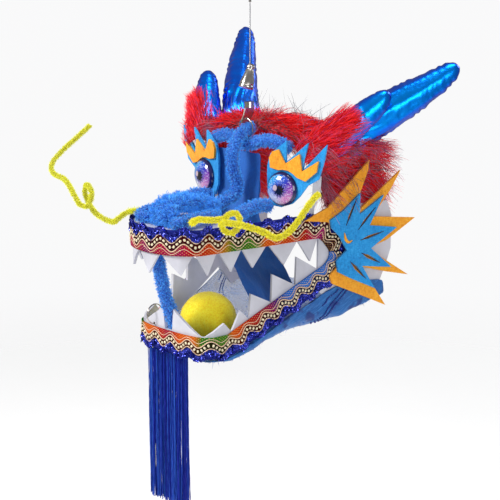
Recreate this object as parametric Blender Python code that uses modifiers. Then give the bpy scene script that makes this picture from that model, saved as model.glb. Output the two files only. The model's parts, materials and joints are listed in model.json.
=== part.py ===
"""Hanging dragon dance head, a light craft piece of board, felt, plush, fur and metallic cloth.

Metres, +Z up, the snout towards -Y, so the dragon's own left is +X. The head hangs on a thin wire.
It is laid out in head coordinates: Y = 0 is under the wire, Z = 0 is the height of the upper tips
of the teeth. An empty then lowers the whole head, so that the origin is the top of the wire's loop.
"""

import math

import bmesh
import bpy
from mathutils import Matrix, Vector

# Driving dimensions: stock materials
GAP = 0.0003
BOARD = 0.0025
FELT = 0.0020
RIBBON = 0.0018
CLOTH = 0.0010
PLUSH_RADIUS = 0.0052
CHENILLE_RADIUS = 0.0034

# Driving dimensions: the plan of both jaws, which share their flat sides
SNOUT_HALF = 0.043
SNOUT_Y = -0.090
CHEEK_HALF = 0.070
CHEEK_Y = 0.050
UPPER_REACH = 0.120
UPPER_SHOULDER = 0.090
LOWER_REACH = 0.099
LOWER_SHOULDER = 0.080
JAW_BACK = 0.020

# Driving dimensions: heights of the mouth
UPPER_RIM = 0.018
LOWER_RIM = -0.054
LOWER_BEND_Y = -0.074
JAW_SLOPE = 0.477
TRIM_WIDTH = 0.023
LOWER_TRIM_WIDTH = 0.020
CORNER_REACH = 0.0413
UPPER_BOARD_TOP = 0.038
UPPER_TOOTH = 0.018
LOWER_TOOTH = 0.024
CHEEK_LENGTH = 0.081
CHEEK_HEIGHT = 0.0935
CHEEK_FOOT = -0.050

# Driving dimensions: nose
NOSE_BOARD_BACK = -0.048
SNOUT_LENGTH = 0.055
SNOUT_HEIGHT = 0.022
SNOUT_WIDTH = 0.028
SNOUT_THICK = 0.011
NOSTRIL_RADIUS = 0.0045
NOSTRIL_SPREAD = 0.0275
SNOUT_FRONT_Y = -0.1045
CROWN_HEIGHT = 0.1105
BRIDGE_FORWARD = 0.094
BRIDGE_BACK = 0.004
BROW_HEIGHT = CROWN_HEIGHT - 0.0145
BROW_SPAN = 0.094

# Driving dimensions: eyes
EYE_X = 0.049
EYE_Y = -0.005
EYE_Z = 0.0628
STONE_SLIDE = -0.003
EYE_SWEEP = math.radians(11)
EYE_DIAMETER = 0.030
EYE_DOME = 0.007
EYE_FELT_WIDTH = 0.060
EYE_FELT_HEIGHT = 0.058
FELT_FOOT = 0.0465
POST_WIDTH = 0.007

# Driving dimensions: fins
FIN_LENGTH = 0.122
FIN_HEIGHT = 0.136
FIN_START = 0.003
FIN_FOOT = -0.053

# Driving dimensions: fur and horns
FUR_WIDTH = 0.044
FUR_DEPTH = 0.019
FUR_SPAN = 0.180
FUR_TOP = 0.113
HORN_LENGTH = 0.118
HORN_RADIUS = 0.0175
PRONG_LENGTH = 0.056
PRONG_RADIUS = 0.0125

# Driving dimensions: cloths, pearl, whiskers and fringe
CHIN_DEPTH = 0.0805
CHIN_TOP = -0.0270
CHIN_FOOT = CHEEK_FOOT - 2 * GAP
THROAT_WIDTH = 0.068
THROAT_DROP = 0.1520
PEARL_DIAMETER = 0.050
PEARL_Y = -0.052
STRUT_LENGTH = 0.0905
STRUT_TOP_INSET = 0.0084
STRUT_FOOT_INSET = 0.0098
WHISKER_SPAN = 0.112
FRINGE_WIDTH = 0.048
FRINGE_LENGTH = 0.138
FRINGE_THICK = 0.005
FRINGE_LOCKS = 12
FRINGE_X = -0.0015
SPLIT_RING_RADIUS = 0.0084
SPLIT_RING_WIRE = 0.0016
SPLIT_RING_X = -0.019

# Driving dimensions: the hanger
HANG_HEIGHT = 0.234
WIRE_DIAMETER = 0.0010
LOOP_RADIUS = 0.0035
SLEEVE_RADIUS = 0.0012
SLEEVE_LENGTH = 0.006
FERRULE_RADIUS = 0.0026
FERRULE_LENGTH = 0.0065
SWIVEL_TOP = CROWN_HEIGHT + 0.0470
SWIVEL_LENGTH = 0.0215
SWIVEL_RADIUS = 0.0066
SWIVEL_NECK = 0.0030
SWIVEL_LEAN = math.radians(19)
CAP_RADIUS = 0.0042
CAP_LENGTH = 0.0050
CAP_TOP = CROWN_HEIGHT + 0.0233
HOOK_THICK = 0.0014
HOOK_DROP = 0.0130
HOOK_HOLE = 0.0015
HANG_RING_RADIUS = 0.0085
HANG_RING_WIRE = 0.0012
HANG_RING_Y = -0.005

LEFT = 1
RIGHT = -1
SIDES = ((LEFT, "left"), (RIGHT, "right"))

# Colours of the finishes: red, green, blue, then roughness and metallic
FINISHES = {
    "board": (0.86, 0.86, 0.89, 0.6, 0.0),
    "trim": (0.45, 0.10, 0.12, 0.6, 0.0),
    "plush": (0.06, 0.22, 0.80, 0.9, 0.0),
    "felt_blue": (0.01, 0.29, 0.75, 0.95, 0.0),
    "felt_orange": (0.92, 0.36, 0.03, 0.95, 0.0),
    "eye": (0.25, 0.35, 0.75, 0.1, 0.0),
    "fur": (0.75, 0.02, 0.03, 0.9, 0.0),
    "lame": (0.01, 0.09, 0.72, 0.25, 0.8),
    "cloth": (0.01, 0.05, 0.28, 0.8, 0.0),
    "organza": (0.03, 0.16, 0.55, 0.5, 0.0),
    "pearl": (0.85, 0.60, 0.05, 0.9, 0.0),
    "chenille": (0.83, 0.80, 0.05, 0.9, 0.0),
    "fringe": (0.02, 0.02, 0.25, 0.7, 0.0),
    "steel": (0.70, 0.70, 0.72, 0.25, 1.0),
}


def clear_scene():
    """Remove everything that the file opens with."""
    for old in list(bpy.data.objects):
        bpy.data.objects.remove(old, do_unlink=True)


def new_collection(name):
    """Add a collection to the scene."""
    collection = bpy.data.collections.new(name)
    bpy.context.scene.collection.children.link(collection)
    return collection


def finish_of(name):
    """The Principled material of one finish, made once."""
    if name in bpy.data.materials:
        return bpy.data.materials[name]
    red, green, blue, roughness, metallic = FINISHES[name]
    material = bpy.data.materials.new(name)
    material.use_nodes = True
    shader = material.node_tree.nodes["Principled BSDF"]
    shader.inputs["Base Color"].default_value = (red, green, blue, 1)
    shader.inputs["Roughness"].default_value = roughness
    shader.inputs["Metallic"].default_value = metallic
    return material


clear_scene()
MODEL = new_collection("dragon_dance_head")
CUTTERS = new_collection("cutters")
HEAD = bpy.data.objects.new("head", None)
HEAD.location = (0, 0, -HANG_HEIGHT)
MODEL.objects.link(HEAD)


def add_piece(name, data, finish, matrix=None):
    """Put a mesh or curve in the head as one named piece."""
    piece = bpy.data.objects.new(name, data)
    data.materials.append(finish_of(finish))
    MODEL.objects.link(piece)
    piece.parent = HEAD
    if matrix is not None:
        piece.matrix_local = matrix
    return piece


def smooth_path(points, spacing):
    """Points about `spacing` apart on the Catmull-Rom curve through the given ones."""
    points = [Vector(point) for point in points]
    ends = [2 * points[0] - points[1]] + points + [2 * points[-1] - points[-2]]
    path = []
    for index in range(1, len(ends) - 2):
        a, b, c, d = ends[index - 1:index + 3]
        steps = max(1, round((c - b).length / spacing))
        for step in range(steps):
            t = step / steps
            path.append(0.5 * (2 * b + (c - a) * t + (2 * a - 5 * b + 4 * c - d) * t ** 2
                               + (3 * b - a - 3 * c + d) * t ** 3))
    path.append(points[-1])
    return path


def curve_data(name, path, radius, radii=None, closed=False):
    """A round bevelled poly curve with filled caps."""
    curve = bpy.data.curves.new(name, "CURVE")
    curve.dimensions = "3D"
    curve.bevel_depth = radius
    curve.bevel_resolution = 2
    curve.use_fill_caps = True
    curve.resolution_u = 1
    spline = curve.splines.new("POLY")
    spline.points.add(len(path) - 1)
    spline.use_cyclic_u = closed
    for index, point in enumerate(path):
        spline.points[index].co = (*point, 1)
        spline.points[index].radius = radii[index] if radii else 1
    return curve


def tube(name, path, radius, finish, radii=None):
    """A tube piece along a path in head coordinates."""
    return add_piece(name, curve_data(name, path, radius, radii), finish)


def meshed(piece):
    """The same piece as a welded mesh, so that a Boolean modifier can cut it."""
    bpy.context.view_layer.update()
    graph = bpy.context.evaluated_depsgraph_get()
    mesh = bpy.data.meshes.new_from_object(piece.evaluated_get(graph))
    name, matrix = piece.name, piece.matrix_world.copy()
    collection = piece.users_collection[0]
    bpy.data.objects.remove(piece)
    form = bmesh.new()
    form.from_mesh(mesh)
    bmesh.ops.remove_doubles(form, verts=form.verts, dist=0.00001)
    bmesh.ops.recalc_face_normals(form, faces=form.faces)
    form.to_mesh(mesh)
    form.free()
    solid = bpy.data.objects.new(name, mesh)
    collection.objects.link(solid)
    solid.matrix_world = matrix
    return solid


def hide_cutter(cutter):
    """Move an object to the cutters and keep it out of the model."""
    for collection in cutter.users_collection:
        collection.objects.unlink(cutter)
    CUTTERS.objects.link(cutter)
    cutter.hide_render = True
    cutter.display_type = "WIRE"


def cut(piece, cutter):
    """Cut a mesh piece with an exact Boolean difference."""
    hide_cutter(cutter)
    difference = piece.modifiers.new("cut_" + cutter.name, "BOOLEAN")
    difference.operation = "DIFFERENCE"
    difference.object = cutter


def tube_cutter(name, path, radius, radii=None):
    """A closed tube mesh, wider and longer by the gap, for cutting a seat with."""
    path = [Vector(point) for point in path]
    path[0] += (path[0] - path[1]).normalized() * GAP
    path[-1] += (path[-1] - path[-2]).normalized() * GAP
    wider = [share + GAP / radius for share in radii or [1] * len(path)]
    return meshed(tube(name, path, radius, "board", wider))


def plate(name, outline, thickness, matrix, finish, holes=()):
    """A flat piece: an outline and its holes, filled and given a thickness."""
    curve = bpy.data.curves.new(name, "CURVE")
    curve.dimensions = "2D"
    curve.fill_mode = "BOTH"
    curve.extrude = thickness / 2
    curve.resolution_u = 1
    for ring in (outline, *holes):
        spline = curve.splines.new("POLY")
        spline.points.add(len(ring) - 1)
        spline.use_cyclic_u = True
        for index, (across, up) in enumerate(ring):
            spline.points[index].co = (across, up, 0, 1)
    return add_piece(name, curve, finish, matrix)


def strip(name, low_edge, high_edge, thickness, finish, closed=False):
    """A thin wall between two rows of points, thickened away from its front."""
    form = bmesh.new()
    low = [form.verts.new(point) for point in low_edge]
    high = [form.verts.new(point) for point in high_edge]
    count = len(low)
    for index in range(count if closed else count - 1):
        after = (index + 1) % count
        form.faces.new((low[index], low[after], high[after], high[index]))
    mesh = bpy.data.meshes.new(name)
    form.to_mesh(mesh)
    form.free()
    piece = add_piece(name, mesh, finish)
    wall = piece.modifiers.new("wall", "SOLIDIFY")
    wall.thickness = thickness
    wall.offset = -1
    return piece


def sheet(name, rows, thickness, finish):
    """A thin wall over a grid of points, thickened away from its front."""
    form = bmesh.new()
    grid = [[form.verts.new(point) for point in row] for row in rows]
    for lower, upper in zip(grid, grid[1:]):
        for index in range(len(lower) - 1):
            form.faces.new((lower[index], lower[index + 1], upper[index + 1], upper[index]))
    mesh = bpy.data.meshes.new(name)
    form.to_mesh(mesh)
    form.free()
    piece = add_piece(name, mesh, finish)
    wall = piece.modifiers.new("wall", "SOLIDIFY")
    wall.thickness = thickness
    wall.offset = -1
    return piece


def loft(name, rings, finish):
    """A closed solid through rings of equal count, flat at both ends."""
    form = bmesh.new()
    grid = [[form.verts.new(point) for point in ring] for ring in rings]
    for lower, upper in zip(grid, grid[1:]):
        count = len(lower)
        for index in range(count):
            after = (index + 1) % count
            form.faces.new((lower[index], lower[after], upper[after], upper[index]))
    form.faces.new(grid[0])
    form.faces.new(grid[-1])
    bmesh.ops.recalc_face_normals(form, faces=form.faces)
    mesh = bpy.data.meshes.new(name)
    form.to_mesh(mesh)
    form.free()
    return add_piece(name, mesh, finish)


def primitive(name, form, finish, matrix):
    """A bmesh primitive as a smooth piece."""
    mesh = bpy.data.meshes.new(name)
    form.to_mesh(mesh)
    form.free()
    mesh.shade_smooth()
    return add_piece(name, mesh, finish, matrix)


def cylinder(name, radius, top_radius, length, centre, finish, lean=0.0, segments=20):
    """A round bar or cone along Z, leaned about X."""
    form = bmesh.new()
    bmesh.ops.create_cone(form, cap_ends=True, segments=segments, radius1=radius,
                          radius2=top_radius, depth=length)
    matrix = Matrix.Translation(centre) @ Matrix.Rotation(lean, 4, "X")
    piece = primitive(name, form, finish, matrix)
    piece.data.set_sharp_from_angle(angle=math.radians(40))
    return piece


def ring_path(centre, radius, plane, count=18):
    """Points round a circle in the plane of two unit directions."""
    first, second = plane
    return [centre + radius * (first * math.cos(math.tau * step / count)
                               + second * math.sin(math.tau * step / count))
            for step in range(count)]


# The plan of the jaws
SIDE_TANGENT = Vector((CHEEK_HALF - SNOUT_HALF, CHEEK_Y - SNOUT_Y)).normalized()


def side_x(y):
    """Half the width of the head's flat sides at this Y."""
    return SNOUT_HALF + (y - SNOUT_Y) * (CHEEK_HALF - SNOUT_HALF) / (CHEEK_Y - SNOUT_Y)


class JawPlan:
    """The outline of one jaw from above, measured from the middle of its front."""

    def __init__(self, reach, shoulder, squareness, steps=24):
        self.half = side_x(-shoulder)
        self.points = []
        for step in range(steps + 1):
            angle = step / steps * math.pi / 2
            x = self.half * math.sin(angle) ** (2 / squareness)
            y = -shoulder - (reach - shoulder) * math.cos(angle) ** (2 / squareness)
            self.points.append(Vector((x, y)))
        self.lengths = [0.0]
        for before, after in zip(self.points, self.points[1:]):
            self.lengths.append(self.lengths[-1] + (after - before).length)
        self.round_length = self.lengths[-1]
        self.shoulder_y = -shoulder

    def reach_of(self, y):
        """The distance round the jaw to this Y on its flat side."""
        return self.round_length + (y - self.shoulder_y) / SIDE_TANGENT.y

    def at(self, distance):
        """The plan point and its outward normal at a signed distance, positive to the left."""
        along = abs(distance)
        if along >= self.round_length:
            point = self.points[-1] + SIDE_TANGENT * (along - self.round_length)
            tangent = SIDE_TANGENT
        else:
            index = next(i for i, length in enumerate(self.lengths) if length > along)
            share = (along - self.lengths[index - 1]) / (self.lengths[index] - self.lengths[index - 1])
            point = self.points[index - 1].lerp(self.points[index], share)
            tangent = (self.points[min(index + 1, len(self.points) - 1)]
                       - self.points[max(index - 2, 0)]).normalized()
            if along < self.lengths[1]:
                tangent = Vector((1, 0)).lerp(tangent, along / self.lengths[1]).normalized()
        normal = Vector((tangent.y, -tangent.x))
        side = -1 if distance < 0 else 1
        return Vector((point.x * side, point.y)), Vector((normal.x * side, normal.y))

    def place(self, distance, height, offset=0.0):
        """A point at a height, moved outwards by an offset."""
        point, normal = self.at(distance)
        return Vector((*(point + normal * offset), height))


UPPER_PLAN = JawPlan(UPPER_REACH, UPPER_SHOULDER, 2.0)
LOWER_PLAN = JawPlan(LOWER_REACH, LOWER_SHOULDER, 3.0)


def side_point(side, y, z, offset=0.0):
    """A point on a flat side of the head, moved outwards by an offset."""
    normal = Vector((SIDE_TANGENT.y, -SIDE_TANGENT.x))
    x, y = Vector((side_x(y), y)) + normal * offset
    return Vector((side * x, y, z))


def side_matrix(side, offset):
    """Axes on a flat side: first along +Y, then up, then outwards."""
    along = Vector((side * SIDE_TANGENT.x, SIDE_TANGENT.y, 0))
    up = Vector((0, 0, 1))
    out = along.cross(up)
    origin = side_point(side, 0, 0, offset)
    return Matrix((
        (along.x, up.x, out.x, origin.x),
        (along.y, up.y, out.y, origin.y),
        (along.z, up.z, out.z, origin.z),
        (0, 0, 0, 1),
    ))


def lower_rim(distance):
    """Height of the lower jaw's rim at a distance round it."""
    bend = LOWER_PLAN.reach_of(LOWER_BEND_Y)
    rise = max(0.0, abs(distance) - bend) * SIDE_TANGENT.y * JAW_SLOPE
    return LOWER_RIM + rise


# Boards with teeth: shares of the way from the front to the jaw's back, and of the tooth's height
UPPER_TEETH = (  # start, tip, end, height
    (-0.070, 0.000, 0.070, 1.00),
    (0.085, 0.190, 0.250, 0.95),
    (0.262, 0.327, 0.379, 1.00),
    (0.396, 0.463, 0.524, 1.00),
    (0.530, 0.593, 0.675, 0.97),
    (0.692, 0.785, 0.866, 1.07),
    (0.871, 0.950, 0.995, 1.10),
)
LOWER_TEETH = (  # start, tip, end, height
    (0.030, 0.040, 0.230, 0.80),
    (0.250, 0.376, 0.420, 0.42),
    (0.428, 0.480, 0.532, 0.50),
    (0.538, 0.548, 0.682, 0.85),
    (0.684, 0.690, 0.843, 1.00),
    (0.847, 0.853, 0.995, 1.00),
)


def tooth_profile(teeth, length):
    """Corners of the toothed edge: signed distances with the share of tooth height."""
    corners = {}
    for start, tip, end, height in teeth:
        for share, rise in ((start, 0.0), (tip, height), (end, 0.0)):
            corners[share * length] = rise
            corners[-share * length] = rise
    corners[length] = 0.0
    corners[-length] = 0.0
    return sorted(corners.items())


def toothed_board(name, plan, teeth, edge_of, back_of, direction, tooth):
    """A board bent round a jaw, with one toothed edge and one plain edge."""
    length = plan.reach_of(JAW_BACK)
    corners = tooth_profile(teeth, length)
    stations = [distance for distance, _ in corners]
    step = 0.006
    count = int(plan.round_length / step)
    for extra in [side * step * index for side in (LEFT, RIGHT) for index in range(count + 2)]:
        if min(abs(extra - station) for station in stations) > step / 3:
            stations.append(extra)
    stations.sort()
    low_edge, high_edge = [], []
    for distance in stations:
        after = next((i for i, corner in enumerate(corners) if corner[0] >= distance), len(corners) - 1)
        left, right = corners[max(after - 1, 0)], corners[after]
        span = right[0] - left[0]
        share = (distance - left[0]) / span if span else 1.0
        rise = left[1] + (right[1] - left[1]) * share
        toothed = plan.place(distance, edge_of(distance) + direction * rise * tooth)
        plain = plan.place(distance, back_of(distance))
        low_edge.append(toothed if direction < 0 else plain)
        high_edge.append(plain if direction < 0 else toothed)
    return strip(name, low_edge, high_edge, BOARD, "board")


upper_board = toothed_board("upper_board", UPPER_PLAN, UPPER_TEETH, lambda s: UPPER_RIM,
                            lambda s: UPPER_BOARD_TOP, -1, UPPER_TOOTH)
lower_board = toothed_board("lower_board", LOWER_PLAN, LOWER_TEETH, lower_rim,
                            lambda s: lower_rim(s) - LOWER_TRIM_WIDTH + GAP, 1, LOWER_TOOTH)

# Cheek boards close the mouth's corners and carry the fins and the fur's ends
CHEEK_OUTLINE = (  # along from the jaw's back, up from the foot
    (0.000, 0.22),
    (0.250, 0.00),
    (0.520, 0.04),
    (0.740, 0.13),
    (0.860, 0.23),
    (0.930, 0.36),
    (1.000, 0.52),
    (1.000, 0.85),
    (0.930, 1.00),
    (0.270, 1.00),
    (0.200, 0.95),
    (0.000, 0.94),
)


def cheek_outline():
    """The cheek board's corners in Y and Z."""
    start = JAW_BACK + GAP
    return [((start + along * CHEEK_LENGTH) / SIDE_TANGENT.y, CHEEK_FOOT + up * CHEEK_HEIGHT)
            for along, up in CHEEK_OUTLINE]


for side, word in SIDES:
    plate("cheek_board_" + word, cheek_outline(), BOARD, side_matrix(side, -BOARD / 2), "board")


def nose_board():
    """The flat board that closes the top of the snout, inside the upper board."""
    back = UPPER_PLAN.reach_of(NOSE_BOARD_BACK)
    count = 20
    inside = -BOARD - GAP
    outline = []
    for step in range(count + 1):
        point = UPPER_PLAN.place(back - 2 * back * step / count, 0, inside)
        outline.append((point.x, point.y))
    matrix = Matrix.Translation((0, 0, UPPER_BOARD_TOP - BOARD / 2))
    return plate("nose_board", outline, BOARD, matrix, "board")


nose_board()

# The trim runs round the mouth: along the rims and round both corners
CORNER_PATH = (  # back towards the corner, up as a share of the upper trim's middle
    (0.44, 1.00),
    (0.66, 0.90),
    (0.87, 0.61),
    (1.00, 0.24),
    (0.94, -0.21),
    (0.74, -0.51),
)


def side_trim_path():
    """The middle of the trim on a flat side as (y, z), from the upper jaw to the lower."""
    upper_middle = UPPER_RIM + TRIM_WIDTH / 2
    lean = math.atan(JAW_SLOPE)
    corner = [Vector((back * CORNER_REACH, up * upper_middle, 0)) for back, up in CORNER_PATH]
    drop = LOWER_TRIM_WIDTH / 2 / math.cos(lean)
    foot = [Vector((y, LOWER_RIM + (y - LOWER_BEND_Y) * JAW_SLOPE - drop, 0))
            for y in (0.44 * CORNER_REACH, -0.05 * CORNER_REACH, -0.73 * CORNER_REACH)]
    bend = LOWER_BEND_Y + LOWER_TRIM_WIDTH / 2 * math.tan(lean / 2)
    foot.append(Vector((bend, LOWER_RIM - LOWER_TRIM_WIDTH / 2, 0)))
    return smooth_path([Vector((-0.73 * CORNER_REACH, upper_middle, 0))] + corner + foot, 0.005)


def trim_stations():
    """Middle points, outward normals and jaw of the whole trim on the left half."""
    path = side_trim_path()
    normal = Vector((SIDE_TANGENT.y, -SIDE_TANGENT.x, 0))
    lowest_turn = max(range(len(path)), key=lambda index: path[index].x)
    upper, lower = [], []
    step = 0.0035
    front = UPPER_PLAN.reach_of(path[0].x)
    count = int(front / step)
    for index in range(count):
        distance = front * index / count
        flat = UPPER_PLAN.at(distance)[1]
        upper.append((UPPER_PLAN.place(distance, path[0].y), Vector((*flat, 0))))
    for index, point in enumerate(path):
        target = upper if index <= lowest_turn else lower
        target.append((side_point(LEFT, point.x, point.y), normal))
    front = LOWER_PLAN.reach_of(path[-1].x)
    count = int(front / step)
    for index in range(1, count + 1):
        distance = front * (count - index) / count
        flat = LOWER_PLAN.at(distance)[1]
        lower.append((LOWER_PLAN.place(distance, path[-1].y), Vector((*flat, 0))))
    return upper, lower


def whole_jaw(half, front_first):
    """Both halves of a jaw's trim in one row, from the left corner to the right."""
    left = list(reversed(half)) if front_first else list(half)
    right = [(Vector((-p.x, p.y, p.z)), Vector((-n.x, n.y, 0))) for p, n in reversed(left)]
    return left[:-1] + right


def trim_width(height):
    """The ribbon's width, which narrows down the corners to the lower jaw."""
    share = min(1.0, max(0.0, height / UPPER_RIM))
    return LOWER_TRIM_WIDTH + (TRIM_WIDTH - LOWER_TRIM_WIDTH) * share


def ribbon(name, stations, finish):
    """A ribbon glued on the outside of the boards, its width square to its run."""
    low_edge, high_edge = [], []
    last = len(stations) - 1
    for index, (middle, normal) in enumerate(stations):
        run = stations[min(index + 1, last)][0] - stations[max(index - 1, 0)][0]
        if index in (0, last):
            run = Vector((0, 0, run.z))
        across = normal.cross(run).normalized() * trim_width(middle.z) / 2
        front = middle + normal * (GAP + RIBBON)
        low_edge.append(front - across)
        high_edge.append(front + across)
    return strip(name, low_edge, high_edge, RIBBON, finish)


upper_half, lower_half = trim_stations()
shared = upper_half[-1]
butt = Vector((0, 0, GAP))
upper_row = whole_jaw(upper_half, True)
lower_row = whole_jaw([(shared[0] - butt, shared[1])] + lower_half, False)
ribbon("upper_trim", upper_row, "trim")
ribbon("lower_trim", list(reversed(lower_row)), "trim")

# The snout: a thick plush roll that arches from the nose board to the bridge
SNOUT_PATH = (  # back from the front end, up from the nose board
    (0.020, 0.05),
    (0.000, 0.32),
    (0.050, 0.60),
    (0.180, 0.76),
    (0.400, 0.80),
    (0.640, 0.68),
    (0.820, 0.55),
    (1.000, 0.46),
)
NOSE_FLOOR = UPPER_BOARD_TOP + GAP


def snout_middle():
    """The middle line of the snout's roll, from its foot at the front to its back end."""
    points = [(0, SNOUT_FRONT_Y + back * SNOUT_LENGTH, NOSE_FLOOR + up * SNOUT_HEIGHT)
              for back, up in SNOUT_PATH]
    return smooth_path(points, 0.006)


def oval_rings(path, half_width, half_depth, segments=12):
    """Oval sections along a path in the middle plane, wide across X."""
    rings = []
    last = len(path) - 1
    for index, point in enumerate(path):
        run = (path[min(index + 1, last)] - path[max(index - 1, 0)]).normalized()
        if index == 0:
            run = Vector((0, 0, 1))
        deep = run.cross(Vector((1, 0, 0)))
        rings.append([point + Vector((1, 0, 0)) * half_width * math.cos(math.tau * turn / segments)
                      + deep * half_depth * math.sin(math.tau * turn / segments)
                      for turn in range(segments)])
    return rings


snout_line = snout_middle()
snout = loft("snout", oval_rings(snout_line, SNOUT_WIDTH / 2, SNOUT_THICK / 2), "plush")
snout_room = loft("snout_room", oval_rings(snout_line, SNOUT_WIDTH / 2 + GAP, SNOUT_THICK / 2 + GAP),
                  "plush")

# Plush-wrapped wires: nose bridge, brow, cheeks, nostrils and the strut between the jaws
BRIDGE_PATH = (  # forwards of the crown, up from the snout's end to the crown
    (0.300, 0.030),
    (0.190, 0.090),
    (0.165, 0.220),
    (0.210, 0.390),
    (0.232, 0.560),
    (0.225, 0.700),
    (0.175, 0.840),
    (0.105, 0.955),
    (0.000, 1.000),
)


def bridge_path():
    """The S-shaped wire from the snout's back end up to the crown."""
    start = snout_line[-1]
    away = (snout_line[-1] - snout_line[-2]).normalized()
    rise = CROWN_HEIGHT - start.z
    points = [start + away * GAP, start + away * 0.008]
    points += [(0, -forward * BRIDGE_FORWARD, start.z + up * rise) for forward, up in BRIDGE_PATH]
    points.append((0, BRIDGE_BACK, CROWN_HEIGHT))
    return smooth_path(points, 0.006)


def bridge_height(y):
    """Height of the bridge's middle line at a Y near the crown."""
    after = next(i for i in range(len(bridge_line) - 1, 0, -1) if bridge_line[i - 1].y <= y)
    before, beyond = bridge_line[after - 1], bridge_line[after]
    return before.z + (beyond.z - before.z) * (y - before.y) / (beyond.y - before.y)


bridge_line = bridge_path()
tube("nose_bridge", bridge_line, PLUSH_RADIUS, "plush")

BROW_PATH = (  # out along half the brow, back and up as shares of its span
    (-1.00, 0.0213, 0.0128),
    (-0.64, -0.0106, 0.0606),
    (-0.32, -0.0319, 0.0479),
    (0.00, -0.0372, 0.0000),
    (0.32, -0.0319, 0.0479),
    (0.64, -0.0106, 0.0606),
    (1.00, 0.0213, 0.0128),
)
brow_line = smooth_path([(out * BROW_SPAN / 2, back * BROW_SPAN, BROW_HEIGHT + up * BROW_SPAN)
                          for out, back, up in BROW_PATH],
                        0.007)
tube("brow_tube", brow_line, PLUSH_RADIUS, "plush")

CHEEK_PATH = (  # out as a share of the snout, forwards as a share of its front, up in radii
    (0.8837, 0.6333, 0.0000),
    (0.8953, 0.5000, 0.7692),
    (0.8953, 0.3556, 1.2500),
    (0.8837, 0.2333, 1.0500),
    (0.8605, 0.1480, 0.7400),
)
NOSTRIL_PATH = (  # out as a share of the spread, forwards as a share of the snout's, up in radii
    (0.53, 1.1444, 0.0000),
    (0.82, 1.2056, 0.1111),
    (1.00, 1.1222, 0.5556),
    (1.00, 0.9889, 0.7778),
    (0.95, 0.8444, 0.6667),
    (0.80, 0.7222, 0.4444),
    (0.53, 0.6333, 0.4444),
)
for side, word in SIDES:
    floor = NOSE_FLOOR + PLUSH_RADIUS
    line = smooth_path([(side * out * SNOUT_HALF, ahead * SNOUT_Y, floor + up * PLUSH_RADIUS)
                        for out, ahead, up in CHEEK_PATH], 0.006)
    tube("cheek_tube_" + word, line, PLUSH_RADIUS, "plush")
    floor = NOSE_FLOOR + NOSTRIL_RADIUS
    line = smooth_path([(side * out * NOSTRIL_SPREAD, ahead * SNOUT_Y, floor + up * NOSTRIL_RADIUS)
                        for out, ahead, up in NOSTRIL_PATH], 0.006)
    cut(meshed(tube("nostril_" + word, line, NOSTRIL_RADIUS, "plush")), snout_room)

STRUT_PATH = (  # back from its top to its foot, down as a share of its length
    (0.0000, 0.00),
    (0.0000, 0.10),
    (0.1384, 0.35),
    (0.4509, 0.66),
    (1.0000, 1.00),
)
STRUT_TOP = NOSE_FLOOR - GAP - BOARD - GAP
strut_start = STRUT_TOP_INSET - UPPER_REACH
strut_run = STRUT_FOOT_INSET - LOWER_REACH - strut_start
tube("front_strut", smooth_path([(0, strut_start + back * strut_run, STRUT_TOP - down * STRUT_LENGTH)
                                 for back, down in STRUT_PATH], 0.008), PLUSH_RADIUS, "plush")

# Eyes: a blue felt flame, an orange flame on it, a domed stone and a board post behind
BLUE_FLAME = (  # out from the eye's middle line, up from the felt's foot
    (0.010, 1.000),
    (0.007, 0.685),
    (0.370, 1.000),
    (0.288, 0.590),
    (0.680, 1.000),
    (0.640, 0.770),
    (0.548, 0.475),
    (0.368, 0.365),
    (0.235, 0.185),
    (0.110, 0.066),
    (-0.068, 0.000),
    (-0.223, 0.012),
    (-0.310, 0.200),
    (-0.318, 0.480),
    (-0.315, 0.610),
    (-0.262, 0.797),
)
ORANGE_FLAME = (  # out from the eye's middle line, up from the felt's foot
    (-0.262, 0.735),
    (-0.210, 0.830),
    (-0.108, 0.870),
    (0.007, 0.665),
    (0.247, 0.828),
    (0.288, 0.575),
    (0.562, 0.753),
    (0.530, 0.588),
    (0.350, 0.436),
    (0.210, 0.478),
    (0.143, 0.531),
    (0.063, 0.568),
    (-0.030, 0.574),
    (-0.107, 0.562),
    (-0.243, 0.588),
)


def eye_matrix(side, offset):
    """Axes on an eye's felt: first outwards along it, then up, then forwards or back."""
    along = Vector((side * math.cos(EYE_SWEEP), math.sin(EYE_SWEEP), 0))
    up = Vector((0, 0, 1))
    third = along.cross(up)
    front = Vector((side * math.sin(EYE_SWEEP), -math.cos(EYE_SWEEP), 0))
    origin = Vector((side * EYE_X, EYE_Y, 0)) + front * offset
    return Matrix((
        (along.x, up.x, third.x, origin.x),
        (along.y, up.y, third.y, origin.y),
        (along.z, up.z, third.z, origin.z),
        (0, 0, 0, 1),
    ))


def flame(table):
    """A flame outline in the felt's own axes."""
    return [(out * EYE_FELT_WIDTH, FELT_FOOT + up * EYE_FELT_HEIGHT) for out, up in table]


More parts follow.
